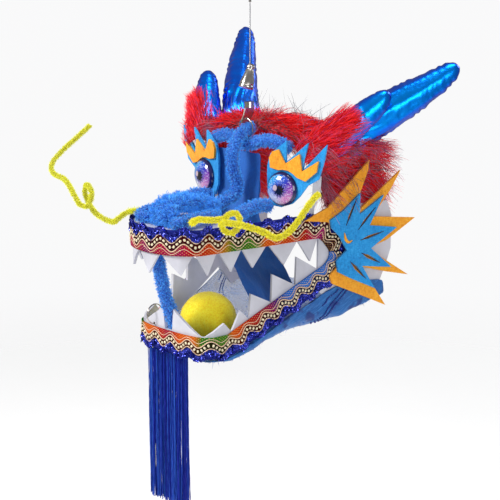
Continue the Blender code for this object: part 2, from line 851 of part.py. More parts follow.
def eye_stone(name, side):
    """A domed round stone with a flat back on the felt."""
    form = bmesh.new()
    bmesh.ops.create_uvsphere(form, u_segments=16, v_segments=12, radius=EYE_DIAMETER / 2)
    bmesh.ops.rotate(form, verts=form.verts, cent=(0, 0, 0), matrix=Matrix.Rotation(math.pi / 2, 3, "X"))
    geometry = list(form.verts) + list(form.edges) + list(form.faces)
    cut_plane = bmesh.ops.bisect_plane(form, geom=geometry, plane_co=(0, 0, 0), plane_no=(0, 1, 0),
                                       clear_outer=True)
    rim = [item for item in cut_plane["geom_cut"] if isinstance(item, bmesh.types.BMEdge)]
    bmesh.ops.edgeloop_fill(form, edges=rim)
    bmesh.ops.scale(form, verts=form.verts, vec=(1, EYE_DOME / (EYE_DIAMETER / 2), 1))
    bmesh.ops.recalc_face_normals(form, faces=form.faces)
    front = FELT / 2 + GAP
    slide = side * STONE_SLIDE
    place = Matrix.Translation((side * (EYE_X + math.sin(EYE_SWEEP) * front
                                        + math.cos(EYE_SWEEP) * slide), 0, EYE_Z))
    place = place @ Matrix.Translation((0, EYE_Y - math.cos(EYE_SWEEP) * front
                                        + math.sin(EYE_SWEEP) * slide, 0))
    turn = Matrix.Rotation(side * EYE_SWEEP, 4, "Z")
    return primitive(name, form, "eye", place @ turn)


for side, word in SIDES:
    plate("eye_felt_" + word, flame(BLUE_FLAME), FELT, eye_matrix(side, 0), "felt_blue")
    plate("eye_flame_" + word, flame(ORANGE_FLAME), FELT, eye_matrix(side, FELT + GAP), "felt_orange")
    eye_stone("eye_" + word, side)

POST_PATH = (  # out and back as shares of the cheeks, up as a share of the felt
    (0.8357, 0.3000, 0.0000),
    (0.8500, 0.2960, 0.1155),
    (0.9857, 0.2360, 0.3569),
    (1.0929, 0.0920, 0.6500),
)


def eye_post(name, side):
    """A narrow board strip from the upper board up to the back of the felt."""
    across = Vector((side, 1, 0)).normalized() * POST_WIDTH / 2
    rings = []
    for out, back, up in POST_PATH:
        middle = Vector((side * out * CHEEK_HALF, back * CHEEK_Y, NOSE_FLOOR + up * EYE_FELT_HEIGHT))
        deep = Vector((side, -1, 0)).normalized() * BOARD / 2
        rings.append([middle - across - deep, middle + across - deep, middle + across + deep,
                      middle - across + deep])
    return loft(name, rings, "board")


for side, word in SIDES:
    eye_post("eye_post_" + word, side)

# Fins: an orange felt burst with a smaller blue one on it, pierced by flame slits
FIN_BACK = (  # back from the trim, up from the lowest tip
    (0.000, 0.652),
    (0.090, 0.684),
    (0.195, 0.720),
    (0.325, 0.818),
    (0.450, 0.915),
    (0.562, 1.000),
    (0.552, 0.935),
    (0.450, 0.720),
    (0.458, 0.665),
    (0.850, 0.905),
    (0.765, 0.790),
    (0.600, 0.620),
    (1.000, 0.572),
    (0.745, 0.452),
    (0.568, 0.408),
    (0.948, 0.185),
    (0.720, 0.236),
    (0.505, 0.295),
    (0.738, 0.000),
    (0.518, 0.095),
    (0.240, 0.212),
    (0.220, 0.268),
    (0.300, 0.330),
    (0.380, 0.430),
    (0.300, 0.560),
    (0.200, 0.625),
)
FIN_FRONT = (  # back from the trim, up from the lowest tip
    (0.205, 0.638),
    (0.320, 0.690),
    (0.470, 0.790),
    (0.470, 0.650),
    (0.685, 0.758),
    (0.560, 0.568),
    (0.815, 0.528),
    (0.578, 0.412),
    (0.772, 0.262),
    (0.500, 0.302),
    (0.620, 0.136),
    (0.405, 0.228),
    (0.280, 0.288),
    (0.268, 0.366),
    (0.358, 0.424),
    (0.290, 0.525),
    (0.220, 0.585),
)
FIN_SLITS = (  # first end back and up, second end back and up, greatest width
    (0.345, 0.590, 0.438, 0.760, 0.024),
    (0.455, 0.550, 0.610, 0.685, 0.022),
    (0.478, 0.478, 0.690, 0.514, 0.024),
    (0.490, 0.390, 0.660, 0.306, 0.026),
    (0.388, 0.345, 0.534, 0.212, 0.028),
)


def fin_points(table):
    """A fin outline in the axes of the head's flat side."""
    return [((FIN_START + back * FIN_LENGTH) / SIDE_TANGENT.y, FIN_FOOT + up * FIN_HEIGHT)
            for back, up in table]


def slit_points(row):
    """A leaf-shaped slit between two ends."""
    back_a, up_a, back_b, up_b, width = row
    start, end = (Vector(point) for point in fin_points(((back_a, up_a), (back_b, up_b))))
    run = end - start
    out = Vector((-run.y, run.x)).normalized() * width * FIN_LENGTH / 2
    return [start, start.lerp(end, 0.35) + out, start.lerp(end, 0.7) + out * 0.7, end,
            start.lerp(end, 0.7) - out * 0.7, start.lerp(end, 0.35) - out]


for side, word in SIDES:
    out = GAP + RIBBON + GAP + FELT / 2
    plate("fin_back_" + word, fin_points(FIN_BACK), FELT, side_matrix(side, out), "felt_orange")
    slits = [slit_points(row) for row in FIN_SLITS]
    plate("fin_front_" + word, fin_points(FIN_FRONT), FELT, side_matrix(side, out + FELT + GAP),
          "felt_blue", slits)

# The fur: an arch of locks over the head, from one cheek board to the other
FUR_SECTIONS = (  # out, back, height, width, depth as shares, then the angle it points out at
    (0.00, 0.42, 1.0000, 0.90, 0.80, 0),
    (0.20, 0.45, 0.9912, 0.95, 0.90, 10),
    (0.42, 0.54, 0.9646, 1.10, 1.00, 22),
    (0.64, 0.70, 0.9115, 1.40, 1.05, 38),
    (0.88, 0.88, 0.8451, 1.85, 1.05, 52),
    (0.71, 1.13, 0.7434, 2.05, 0.90, 90),
    (0.70, 1.24, 0.5752, 1.80, 0.85, 90),
    (0.70, 1.28, 0.3876, 1.40, 0.80, 90),
)
FUR_LOCK = 0.06


def fur_band():
    """The fur's outer form, its edges jagged where the locks end."""
    half = [(Vector((out * FUR_SPAN / 2, back * CHEEK_Y, up * FUR_TOP)), width, depth, math.radians(turn))
            for out, back, up, width, depth, turn in FUR_SECTIONS]
    middles = smooth_path([row[0] for row in half], 0.0055)
    total = len(middles) - 1
    rings = []
    for index in range(-total, total + 1):
        share = abs(index) / total * (len(half) - 1)
        low = min(int(share), len(half) - 2)
        part = share - low
        width, depth, turn = (half[low][k] + (half[low + 1][k] - half[low][k]) * part for k in (1, 2, 3))
        side = -1 if index < 0 else 1
        middle = middles[abs(index)].copy()
        middle.x *= side
        lock = 1 + FUR_LOCK * (1 if index % 2 else -1)
        out = Vector((side * math.sin(turn), 0, math.cos(turn)))
        lean = (middle.x / FUR_SPAN * 2) ** 2
        along = Vector((side * SIDE_TANGENT.x * lean, SIDE_TANGENT.y, 0)).normalized()
        ring = []
        for turn_index in range(10):
            angle = math.tau * turn_index / 10
            ring.append(middle + along * math.cos(angle) * FUR_WIDTH / 2 * width * lock
                        + out * math.sin(angle) * FUR_DEPTH / 2 * depth)
        rings.append(ring)
    return loft("fur_band", rings, "fur")


fur = meshed(fur_band())
cut(fur, tube_cutter("bridge_room", bridge_line, PLUSH_RADIUS))

# Horns and their prongs: stuffed cloth, bent, thick above a gathered foot
HORN_SECTIONS = (  # along, out, back, up, thickness
    (0.00, 0.00, 0.00, 0.00, 0.80),
    (0.12, 0.10, 0.06, 0.10, 0.98),
    (0.30, 0.27, 0.20, 0.26, 1.00),
    (0.50, 0.47, 0.40, 0.44, 0.93),
    (0.70, 0.68, 0.63, 0.64, 0.76),
    (0.86, 0.85, 0.84, 0.82, 0.55),
    (0.95, 0.95, 0.95, 0.94, 0.38),
    (1.00, 1.00, 1.00, 1.00, 0.22),
)
HORN_PLACES = {  # foot out, back, up, then tip out, back, up from the foot
    LEFT: (0.6667, 1.0400, 0.8850, 0.5932, 0.6017, 0.5424),
    RIGHT: (0.6889, 1.0600, 0.9027, 0.5763, 0.6017, 0.6949),
}
PRONG_PLACES = {  # foot out, back, up, then tip out, back, up from the foot
    LEFT: (0.8000, 0.5200, 0.8938, 0.6429, 0.5357, 0.7679),
    RIGHT: (0.8889, 0.5000, 0.8938, 0.5357, 0.5000, 0.8036),
}


def horn_line(side, place, length):
    """The bent middle line and the thickness along a horn."""
    foot = Vector((side * place[0] * FUR_SPAN / 2, place[1] * CHEEK_Y, place[2] * FUR_TOP))
    span = Vector((side * place[3], place[4], place[5])) * length
    points = [foot + Vector((span.x * out, span.y * back, span.z * up))
              for _, out, back, up, _ in HORN_SECTIONS]
    return points, [thick for *_, thick in HORN_SECTIONS]


def stuffed(name, side, place, length, radius):
    """A horn or prong, with a seat of its own in the fur."""
    points, thick = horn_line(side, place, length)
    tube(name, points, radius, "lame", thick)
    cut(fur, tube_cutter(name + "_room", points, radius, thick))


for side, word in SIDES:
    stuffed("horn_" + word, side, HORN_PLACES[side], HORN_LENGTH, HORN_RADIUS)
    stuffed("prong_" + word, side, PRONG_PLACES[side], PRONG_LENGTH, PRONG_RADIUS)

# The pearl in the mouth, on the chin cloth
pearl_form = bmesh.new()
bmesh.ops.create_uvsphere(pearl_form, u_segments=16, v_segments=12, radius=PEARL_DIAMETER / 2)
pearl_z = -CHIN_DEPTH + PEARL_DIAMETER / 2 + 2 * GAP
primitive("pearl", pearl_form, "pearl", Matrix.Translation((0, PEARL_Y, pearl_z)))

# The chin cloth: a sling from one side of the head to the other
CHIN_STATIONS = (  # along Y as a share of the jaw, foot of the upright side, depth in the middle, roundness
    (-0.9444, 0.000, 0.935, 0.80),
    (-0.8586, 0.000, 0.960, 0.80),
    (-0.7071, 0.000, 0.990, 0.90),
    (-0.5253, 0.100, 1.000, 1.00),
    (-0.3030, 0.250, 0.962, 0.95),
    (-0.0505, 0.550, 0.880, 0.90),
    (0.2051, 0.900, 0.820, 0.80),
    (0.4091, 1.000, 0.780, 0.80),
    (0.6263, 0.900, 0.740, 0.80),
    (0.8081, 0.700, 0.670, 0.80),
    (0.9495, 0.600, 0.600, 0.80),
)


def chin_edge(y):
    """Height of the cloth's edge, just under the lower trim."""
    drop = LOWER_TRIM_WIDTH * math.sqrt(1 + JAW_SLOPE ** 2) + 8 * GAP
    flat = LOWER_RIM - LOWER_TRIM_WIDTH - 5 * GAP
    slope = LOWER_RIM + (y - LOWER_BEND_Y) * JAW_SLOPE - drop
    return min(max(flat, slope), CHIN_TOP)


def chin_half(y):
    """Half the width of the cloth at its edge."""
    if y >= -LOWER_SHOULDER:
        return side_x(y) + GAP + CLOTH
    share = (-LOWER_SHOULDER - y) / (LOWER_REACH - LOWER_SHOULDER)
    return (side_x(-LOWER_SHOULDER) + GAP + CLOTH) * (1 - share ** 3) ** (1 / 3)


def chin_section(y, foot_share, depth, roundness):
    """Half of one section of the sling, from the left edge to the middle."""
    half, edge = chin_half(y), chin_edge(y)
    foot = min(edge - GAP, edge + (CHIN_FOOT - edge) * foot_share)
    low = -CHIN_DEPTH * depth - CLOTH
    wall = [(half, edge + (foot - edge) * step / 3) for step in range(3)]
    bend = []
    for step in range(9):
        angle = math.pi / 2 * step / 8
        bend.append((math.cos(angle) ** roundness * half,
                     foot + (low - foot) * math.sin(angle) ** roundness))
    return wall + bend


def chin_cloth():
    """The sling of sheer cloth under the lower jaw."""
    rows = []
    for reach, foot_share, depth, roundness in CHIN_STATIONS:
        y = reach * LOWER_REACH
        half_row = chin_section(y, foot_share, depth, roundness)
        row = [(x, y, z) for x, z in half_row]
        row += [(-x, y, z) for x, z in reversed(half_row[:-1])]
        rows.append(row)
    return sheet("chin_cloth", rows, CLOTH, "organza")


chin_cloth()

# The throat cloth: a strip that hangs from the brow down to the chin
THROAT_ROWS = (  # down, along Y, right edge, left edge as shares of the width
    (0.00, -0.0441, -0.55, 0.26),
    (0.12, -0.0588, -0.56, 0.25),
    (0.29, -0.0515, -0.53, 0.21),
    (0.38, -0.1250, -0.49, 0.28),
    (0.51, -0.1029, -0.50, 0.50),
    (0.69, 0.1471, -0.52, 0.52),
    (0.88, 0.3824, -0.53, 0.52),
    (1.00, 0.4853, -0.44, 0.44),
)


def throat_cloth():
    """The hanging strip, with a few soft waves across it."""
    top = BROW_HEIGHT - PLUSH_RADIUS - GAP
    rows = []
    for down, y, right, left in THROAT_ROWS:
        row = []
        for step in range(9):
            share = step / 8
            wave = 0.0016 * math.sin(share * 2.5 * math.pi) * (down + 0.2)
            row.append(((right + (left - right) * share) * THROAT_WIDTH, y * THROAT_WIDTH + wave,
                        top - down * THROAT_DROP))
        rows.append(row)
    return sheet("throat_cloth", rows, CLOTH, "cloth")


throat_cloth()

# The whiskers: bent chenille stems, each with one curl
LEFT_WHISKER = (  # out, along Y and up from its root, as shares of its span
    (0.0000, 0.0000, 0.0000),
    (0.0223, -0.0036, 0.0018),
    (0.0670, -0.0446, 0.0152),
    (0.1741, -0.0804, 0.0580),
    (0.2902, -0.0804, 0.0687),
    (0.4152, -0.0625, 0.0955),
    (0.4688, -0.0536, 0.1402),
    (0.5223, -0.0446, 0.1491),
    (0.5670, -0.0536, 0.1134),
    (0.5714, -0.0714, 0.0598),
    (0.5402, -0.0982, 0.0152),
    (0.4866, -0.1250, 0.0196),
    (0.4598, -0.1429, 0.0687),
    (0.5134, -0.1562, 0.0955),
    (0.6384, -0.1429, 0.1000),
    (0.7455, -0.1161, 0.0866),
    (0.8438, -0.0804, 0.0598),
    (0.9241, -0.0625, 0.0330),
    (0.9777, 0.0000, 0.0687),
    (0.9955, 0.0804, 0.1402),
    (0.9955, 0.1875, 0.2384),
    (0.9866, 0.2768, 0.2920),
    (0.9777, 0.3125, 0.3009),
)
RIGHT_WHISKER = (  # out, along Y and up from its root, as shares of its span
    (0.0000, 0.0000, 0.0000),
    (0.0223, -0.0036, 0.0018),
    (0.0625, -0.0536, -0.0009),
    (0.1295, -0.1027, -0.0563),
    (0.2009, -0.0937, -0.1009),
    (0.3170, -0.0804, -0.1009),
    (0.4241, -0.0804, -0.0741),
    (0.5134, -0.0625, -0.0384),
    (0.5893, -0.0446, 0.0152),
    (0.6295, -0.0357, 0.0777),
    (0.6027, -0.0446, 0.1312),
    (0.5402, -0.0714, 0.1446),
    (0.4688, -0.0982, 0.1134),
    (0.4330, -0.1250, 0.0509),
    (0.4598, -0.1518, -0.0116),
    (0.5312, -0.1607, -0.0027),
    (0.6205, -0.1518, 0.0687),
    (0.7188, -0.1250, 0.1312),
    (0.8259, -0.0982, 0.1670),
    (0.9330, -0.0893, 0.1759),
    (1.0134, -0.0714, 0.2116),
    (1.0491, -0.0268, 0.2652),
    (1.0491, 0.0714, 0.3455),
    (1.0312, 0.1696, 0.4170),
    (1.0045, 0.2589, 0.4884),
    (0.9866, 0.3214, 0.5420),
)
WHISKER_ROOT = Vector((0.756 * SNOUT_HALF, 1.122 * SNOUT_Y, NOSE_FLOOR + 1.556 * NOSTRIL_RADIUS))


def whisker(name, side, table):
    """One whisker, its root on the nostril."""
    points = []
    for row in table:
        point = WHISKER_ROOT + Vector(row) * WHISKER_SPAN
        points.append((side * point.x, point.y, point.z))
    tube(name, smooth_path(points, 0.0055), CHENILLE_RADIUS, "chenille")


whisker("whisker_left", LEFT, LEFT_WHISKER)
whisker("whisker_right", RIGHT, RIGHT_WHISKER)

# The fringe hangs from the lower edge of the front trim
FRINGE_Y = -LOWER_REACH + FRINGE_THICK / 2 - RIBBON


def fringe():
    """A curtain of threads in locks: ribbed across, jagged along its foot."""
    top = LOWER_RIM - LOWER_TRIM_WIDTH - GAP
    count = FRINGE_LOCKS * 2
    front, back = [], []
    for step in range(count + 1):
        x = FRINGE_X + (step / count - 0.5) * FRINGE_WIDTH
        ridge = 0.0012 if step % 2 else 0.0
        foot = top - FRINGE_LENGTH + (0.004 if step % 2 == 0 else 0.0)
        column = [(top, 0.0), (top - 0.008, 1.0), (top - FRINGE_LENGTH * 0.55, 1.0), (foot, 0.9)]
        front.append([(x, FRINGE_Y - FRINGE_THICK / 2 - ridge * swell, z) for z, swell in column])
        back.append([(x, FRINGE_Y + FRINGE_THICK / 2 + ridge * swell, z) for z, swell in column])
    rings = [first + list(reversed(second)) for first, second in zip(front, back)]
    return loft("fringe", rings, "fringe")


fringe()

# The split ring at the lower front, through a hole in the board
ring_centre = Vector((SPLIT_RING_X, -LOWER_REACH + BOARD / 2, 0))
ring_centre.z = LOWER_RIM + 0.0019 + SPLIT_RING_RADIUS
ring_points = ring_path(ring_centre, SPLIT_RING_RADIUS, (Vector((0, 1, 0)), Vector((0, 0, 1))))
ring_curve = curve_data("split_ring", ring_points, SPLIT_RING_WIRE / 2, closed=True)
ring_curve.bevel_resolution = 1
add_piece("split_ring", ring_curve, "steel")
ring_hole = cylinder("ring_hole", SPLIT_RING_WIRE / 2 + 2 * GAP, SPLIT_RING_WIRE / 2 + 2 * GAP,
                     BOARD * 4, ring_centre - Vector((0, 0, SPLIT_RING_RADIUS)), "steel",
                     math.pi / 2, 10)
cut(lower_board, ring_hole)

# The hanger: wire with a crimped loop, ferrule, swivel, cap, hook plate and ring
loop_z = HANG_HEIGHT - LOOP_RADIUS - WIRE_DIAMETER / 2
loop_points = ring_path(Vector((0, 0, loop_z)), LOOP_RADIUS, (Vector((1, 0, 0)), Vector((0, 0, 1))))
loop_curve = curve_data("hang_loop", loop_points, WIRE_DIAMETER / 2, closed=True)
loop_curve.bevel_resolution = 1
add_piece("hang_loop", loop_curve, "steel")
sleeve_top = loop_z - LOOP_RADIUS - WIRE_DIAMETER / 2 - GAP
cylinder("hang_sleeve", SLEEVE_RADIUS, SLEEVE_RADIUS, SLEEVE_LENGTH,
         (0, 0, sleeve_top - SLEEVE_LENGTH / 2), "steel", segments=12)
ferrule_top = SWIVEL_TOP + GAP + FERRULE_LENGTH
wire_top = sleeve_top - SLEEVE_LENGTH - GAP
wire_count = 12
wire_line = [(0, 0, wire_top + (ferrule_top + GAP - wire_top) * step / wire_count)
             for step in range(wire_count + 1)]
tube("hang_wire", wire_line, WIRE_DIAMETER / 2, "steel")
cylinder("ferrule", FERRULE_RADIUS, FERRULE_RADIUS, FERRULE_LENGTH,
         (0, 0, ferrule_top - FERRULE_LENGTH / 2), "steel", segments=16)
swivel_axis = Vector((0, -math.sin(SWIVEL_LEAN), -math.cos(SWIVEL_LEAN)))
swivel_top = Vector((0, 0, SWIVEL_TOP - math.sin(SWIVEL_LEAN) * SWIVEL_NECK))
cylinder("swivel", SWIVEL_RADIUS, SWIVEL_NECK, SWIVEL_LENGTH, swivel_top + swivel_axis * SWIVEL_LENGTH / 2,
         "steel", -SWIVEL_LEAN)
cylinder("hook_cap", CAP_RADIUS, CAP_RADIUS, CAP_LENGTH, (0, -0.001, CAP_TOP - CAP_LENGTH / 2),
         "steel", segments=16)
HOOK_OUTLINE = (  # along Y and down from the cap, as shares of its drop
    (-0.4615, 0.0000),
    (0.3077, 0.0000),
    (0.3077, 0.3846),
    (0.0769, 0.6538),
    (-0.0769, 0.9615),
    (-0.4615, 1.0000),
    (-0.7692, 1.0000),
    (-0.8077, 0.7692),
    (-0.6154, 0.4615),
)
hook_top = CAP_TOP - CAP_LENGTH - GAP
ring_top = bridge_height(HANG_RING_Y) - PLUSH_RADIUS * 1.1 - HANG_RING_WIRE + 2 * HANG_RING_RADIUS
hook_hole = [(HANG_RING_Y + HOOK_HOLE * math.cos(math.tau * step / 10),
              ring_top + HOOK_HOLE * math.sin(math.tau * step / 10)) for step in range(10)]
hook_matrix = Matrix(((0, 0, 1, 0), (1, 0, 0, 0), (0, 1, 0, 0), (0, 0, 0, 1)))
plate("hook_plate", [(y * HOOK_DROP, hook_top - down * HOOK_DROP) for y, down in HOOK_OUTLINE],
      HOOK_THICK, hook_matrix,
      "steel", [hook_hole])
hang_points = ring_path(Vector((0, HANG_RING_Y, ring_top - HANG_RING_RADIUS)), HANG_RING_RADIUS,
                        (Vector((1, 0, 0)), Vector((0, 0, 1))))
hang_curve = curve_data("hang_ring", hang_points, HANG_RING_WIRE / 2, closed=True)
hang_curve.bevel_resolution = 1
add_piece("hang_ring", hang_curve, "steel")
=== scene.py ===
"""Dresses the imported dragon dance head: trim, plush stems, fur, stuffed horns, felt, cloths and fittings.

Metres, +Z up, the snout towards -Y. Sizes that follow the head are written in head coordinates, whose
zero height is DROP below the loop that the head hangs by.
"""
import json
import logging
import math
from abc import ABC, abstractmethod
from dataclasses import dataclass
from enum import Enum
from typing import Callable, Iterable, Optional, Sequence, Union

import bmesh
import bpy
import numpy as np
from mathutils import Matrix, Vector
from mathutils.bvhtree import BVHTree
from mathutils.kdtree import KDTree

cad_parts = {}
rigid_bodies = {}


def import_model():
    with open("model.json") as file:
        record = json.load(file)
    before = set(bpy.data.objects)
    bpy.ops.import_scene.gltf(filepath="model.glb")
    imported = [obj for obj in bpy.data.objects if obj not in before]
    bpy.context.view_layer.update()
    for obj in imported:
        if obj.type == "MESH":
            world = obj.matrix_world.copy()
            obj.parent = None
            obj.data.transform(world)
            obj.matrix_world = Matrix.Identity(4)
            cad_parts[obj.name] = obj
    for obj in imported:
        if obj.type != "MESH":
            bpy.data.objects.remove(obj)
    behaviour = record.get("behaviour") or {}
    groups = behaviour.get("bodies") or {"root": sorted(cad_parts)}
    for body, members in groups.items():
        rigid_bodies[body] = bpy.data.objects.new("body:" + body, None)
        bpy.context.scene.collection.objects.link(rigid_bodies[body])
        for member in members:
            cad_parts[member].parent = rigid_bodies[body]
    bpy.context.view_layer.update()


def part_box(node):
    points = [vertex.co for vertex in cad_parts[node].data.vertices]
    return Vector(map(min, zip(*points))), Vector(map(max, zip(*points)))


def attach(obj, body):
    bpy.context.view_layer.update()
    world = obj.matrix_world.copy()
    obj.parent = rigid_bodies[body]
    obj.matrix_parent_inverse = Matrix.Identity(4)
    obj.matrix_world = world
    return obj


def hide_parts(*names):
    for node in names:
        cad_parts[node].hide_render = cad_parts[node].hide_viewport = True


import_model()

DROP = 0.234
GAP = 0.0003
MM = 0.001
WIRE_DIAMETER = 0.001
LOOP_RADIUS = 0.0035
SLEEVE_LENGTH = 0.006
FERRULE_FOOT = 0.1575
FERRULE_LENGTH = 0.0065
RIBBON_WIDTH = 0.023
HORN_RADIUS = 0.0175
PRONG_RADIUS = 0.0125
LOG = logging.getLogger("dragon_head")
Colour = tuple[float, float, float]
Piece = bpy.types.Object
Random = np.random.Generator
Rows = np.ndarray


class Side(Enum):
    """The dragon's own sides."""

    LEFT = 1
    RIGHT = -1

    @property
    def word(self) -> str:
        """The side's name in a node."""
        return self.name.lower()


# Shader tools


class Signal:
    """A value in a shader that takes part in ordinary arithmetic."""

    def __init__(self, paint: "Paint", socket: bpy.types.NodeSocket) -> None:
        """Wrap one output of a node."""
        self.paint = paint
        self.socket = socket

    def math(self, operation: str, *others: Union["Signal", float]) -> "Signal":
        """The result of a Math node on this value and others."""
        return self.paint.node("ShaderNodeMath", {"operation": operation}, dict(enumerate((self, *others))))

    def __add__(self, other: Union["Signal", float]) -> "Signal":
        """Sum."""
        return self.math("ADD", other)

    __radd__ = __add__

    def __sub__(self, other: Union["Signal", float]) -> "Signal":
        """Difference."""
        return self.math("SUBTRACT", other)

    def __rsub__(self, other: float) -> "Signal":
        """Difference from a number."""
        return self.paint.node("ShaderNodeMath", {"operation": "SUBTRACT"}, {0: other, 1: self})

    def __mul__(self, other: Union["Signal", float]) -> "Signal":
        """Product."""
        return self.math("MULTIPLY", other)

    __rmul__ = __mul__

    def __truediv__(self, other: Union["Signal", float]) -> "Signal":
        """Quotient."""
        return self.math("DIVIDE", other)

    def __pow__(self, other: float) -> "Signal":
        """Power."""
        return self.math("POWER", other)

    def above(self, edge: float, softness: float = 0.02) -> "Signal":
        """1 where the value is over an edge and 0 under it, with a soft step between."""
        return self.paint.node("ShaderNodeMapRange", {"interpolation_type": "SMOOTHSTEP"},
                               {"Value": self, "From Min": edge - softness, "From Max": edge + softness})

    def parts(self) -> tuple["Signal", "Signal", "Signal"]:
        """The three parts of a vector."""
        split = self.paint.make("ShaderNodeSeparateXYZ", {}, {0: self})
        return tuple(Signal(self.paint, output) for output in split.outputs)


class Paint:
    """One procedural material while it is being made."""

    def __init__(self, name: str, colour: Colour, roughness: float, metallic: float = 0.0,
                 **constants: float) -> None:
        """Start from a plain shader with these constants."""
        self.material = bpy.data.materials.new(name)
        self.material.use_nodes = True
        self.tree = self.material.node_tree
        self.shader = self.tree.nodes["Principled BSDF"]
        self.feed("Base Color", (*colour, 1))
        self.feed("Roughness", roughness)
        self.feed("Metallic", metallic)
        for socket, value in constants.items():
            self.feed(socket.replace("_", " "), value)

    def make(self, kind: str, settings: dict, inputs: dict) -> bpy.types.Node:
        """Add a node.

        Args:
            kind: the node's type.
            settings: attributes set before its sockets; "stops" are a ramp's positions and colours.
            inputs: socket name or number to a Signal or a plain value.

        Returns:
            The node.
        """
        node = self.tree.nodes.new(kind)
        for name, value in settings.items():
            if name == "stops":
                ramp = node.color_ramp.elements
                for index, (position, colour) in enumerate(value):
                    stop = ramp[index] if index < 2 else ramp.new(position)
                    stop.position = position
                    stop.color = (*colour, 1)
            else:
                setattr(node, name, value)
        for name, value in inputs.items():
            if isinstance(value, Signal):
                self.tree.links.new(value.socket, node.inputs[name])
            else:
                node.inputs[name].default_value = value
        return node

    def node(self, kind: str, settings: dict, inputs: dict, output: Union[int, str] = 0) -> Signal:
        """Add a node and return one of its outputs."""
        return Signal(self, self.make(kind, settings, inputs).outputs[output])

    def feed(self, socket: str, value: Union[Signal, float, tuple]) -> None:
        """Give one of the shader's own sockets a value or a link."""
        if isinstance(value, Signal):
            self.tree.links.new(value.socket, self.shader.inputs[socket])
        else:
            self.shader.inputs[socket].default_value = value

    def place(self, scale: Colour = (1, 1, 1), turn: Colour = (0, 0, 0)) -> Signal:
        """Object coordinates, stretched and turned."""
        where = self.node("ShaderNodeTexCoord", {}, {}, "Object")
        return self.node("ShaderNodeMapping", {}, {"Vector": where, "Scale": scale, "Rotation": turn})

    def strip(self, scale: Colour = (1, 1, 1)) -> Signal:
        """The piece's own UV map, in its own units."""
        where = self.node("ShaderNodeUVMap", {"uv_map": "own"}, {})
        return self.node("ShaderNodeMapping", {}, {"Vector": where, "Scale": scale})

    def tint(self) -> Signal:
        """The piece's own colour attribute."""
        return self.node("ShaderNodeVertexColor", {"layer_name": "tint"}, {})

    def noise(self, scale: float, detail: float = 3.0, where: Optional[Signal] = None,
              rough: float = 0.55) -> Signal:
        """Cloudy noise from 0 to 1."""
        where = where or self.place()
        return self.node("ShaderNodeTexNoise", {}, {"Vector": where, "Scale": scale, "Detail": detail,
                                                    "Roughness": rough}, "Fac")

    def cells(self, scale: float, where: Optional[Signal] = None) -> Signal:
        """Distance to the nearest of scattered points."""
        where = where or self.place()
        return self.node("ShaderNodeTexVoronoi", {}, {"Vector": where, "Scale": scale}, "Distance")

    def ramp(self, value: Signal, *stops: tuple[float, Colour]) -> Signal:
        """A colour ramp over a value."""
        return self.node("ShaderNodeValToRGB", {"stops": stops}, {"Fac": value})

    def mix(self, share: Union[Signal, float], first: Union[Signal, Colour],
            second: Union[Signal, Colour]) -> Signal:
        """Two colours mixed by a share from 0 to 1."""
        pair = [value if isinstance(value, Signal) else (*value, 1) for value in (first, second)]
        return self.node("ShaderNodeMix", {"data_type": "RGBA"}, {0: share, 6: pair[0], 7: pair[1]}, 2)

    def mottle(self, value: Signal, colour: Colour, depth: float, low: float, high: float) -> None:
        """Darken the base colour to a share of itself where a value is low."""
        dark = tuple(part * depth for part in colour)
        self.feed("Base Color", self.ramp(value, (low, dark), (high, colour)))

    def bump(self, height: Signal, distance: float, strength: float = 1.0) -> None:
        """Relief from a height of 0 to 1, as deep as the distance."""
        self.feed("Normal", self.node("ShaderNodeBump", {}, {"Height": height, "Distance": distance,
                                                            "Strength": strength}, "Normal"))


@dataclass(frozen=True)
class Finish(ABC):
    """A finish whose material is made once."""

    name: str
    slot: str

    @property
    def material(self) -> bpy.types.Material:
        """The finish's material."""
        return bpy.data.materials.get("finish_" + self.name) or self.paint("finish_" + self.name).material

    @abstractmethod
    def paint(self, name: str) -> Paint:
        """Make the material."""


@dataclass(frozen=True)
class FoamBoard(Finish):
    """Pale foam board: a fine closed-cell skin, faintly lilac, with soft smudges."""

    colour: Colour = (0.64, 0.64, 0.71)

    def paint(self, name: str) -> Paint:
        """Make the material."""
        paint = Paint(name, self.colour, 0.62)
        paint.mottle(paint.noise(38, 4), self.colour, 0.80, 0.30, 0.62)
        paint.feed("Roughness", 0.50 + 0.25 * paint.noise(140))
        paint.bump(paint.cells(2600) * 0.6 + paint.noise(900) * 0.4, 0.00006, 0.6)
        return paint


@dataclass(frozen=True)
class Felt(Finish):
    """Needled felt: matted fibres of close shades."""

    dark: Colour
    mid: Colour
    light: Colour

    def paint(self, name: str) -> Paint:
        """Make the material."""
        paint = Paint(name, self.mid, 0.95)
        paint.feed("Sheen Weight", 0.25)
        long_way = paint.noise(900, 3, paint.place((1, 1, 0.25), (0.5, 0.3, 0.2)))
        cross_way = paint.noise(900, 3, paint.place((1, 0.3, 1), (0.1, 0.7, 0.9)))
        fibre = long_way * 0.5 + cross_way * 0.5
        paint.feed("Base Color", paint.ramp(fibre * 0.75 + paint.noise(60) * 0.25, (0.36, self.dark),
                                            (0.50, self.mid), (0.64, self.light)))
        paint.bump(fibre, 0.0005, 0.9)
        return paint


@dataclass(frozen=True)
class Fibre(Finish):
    """Loose fibres, each with its own tint, glowing faintly in it: a painted light that brightens them."""

    roughness: float = 0.6
    sheen: float = 0.1
    # through: the strength of a painted glow, an emission in the fibre's own tint
    through: float = 0.12

    def paint(self, name: str) -> Paint:
        """Make the material."""
        # Emission in the fibre's own tint: painted light, a glow that brightens the fibres.
        paint = Paint(name, (0.5, 0.5, 0.5), self.roughness, Sheen_Weight=self.sheen,
                      Specular_IOR_Level=0.12, Emission_Strength=self.through)
        shade = paint.noise(2400, 2)
        tint = paint.tint()
        tone = paint.mix(shade, paint.mix(0.25, tint, (0, 0, 0)), tint)
        paint.feed("Base Color", tone)
        paint.feed("Emission Color", tone)
        paint.bump(shade, 0.00008, 0.5)
        return paint


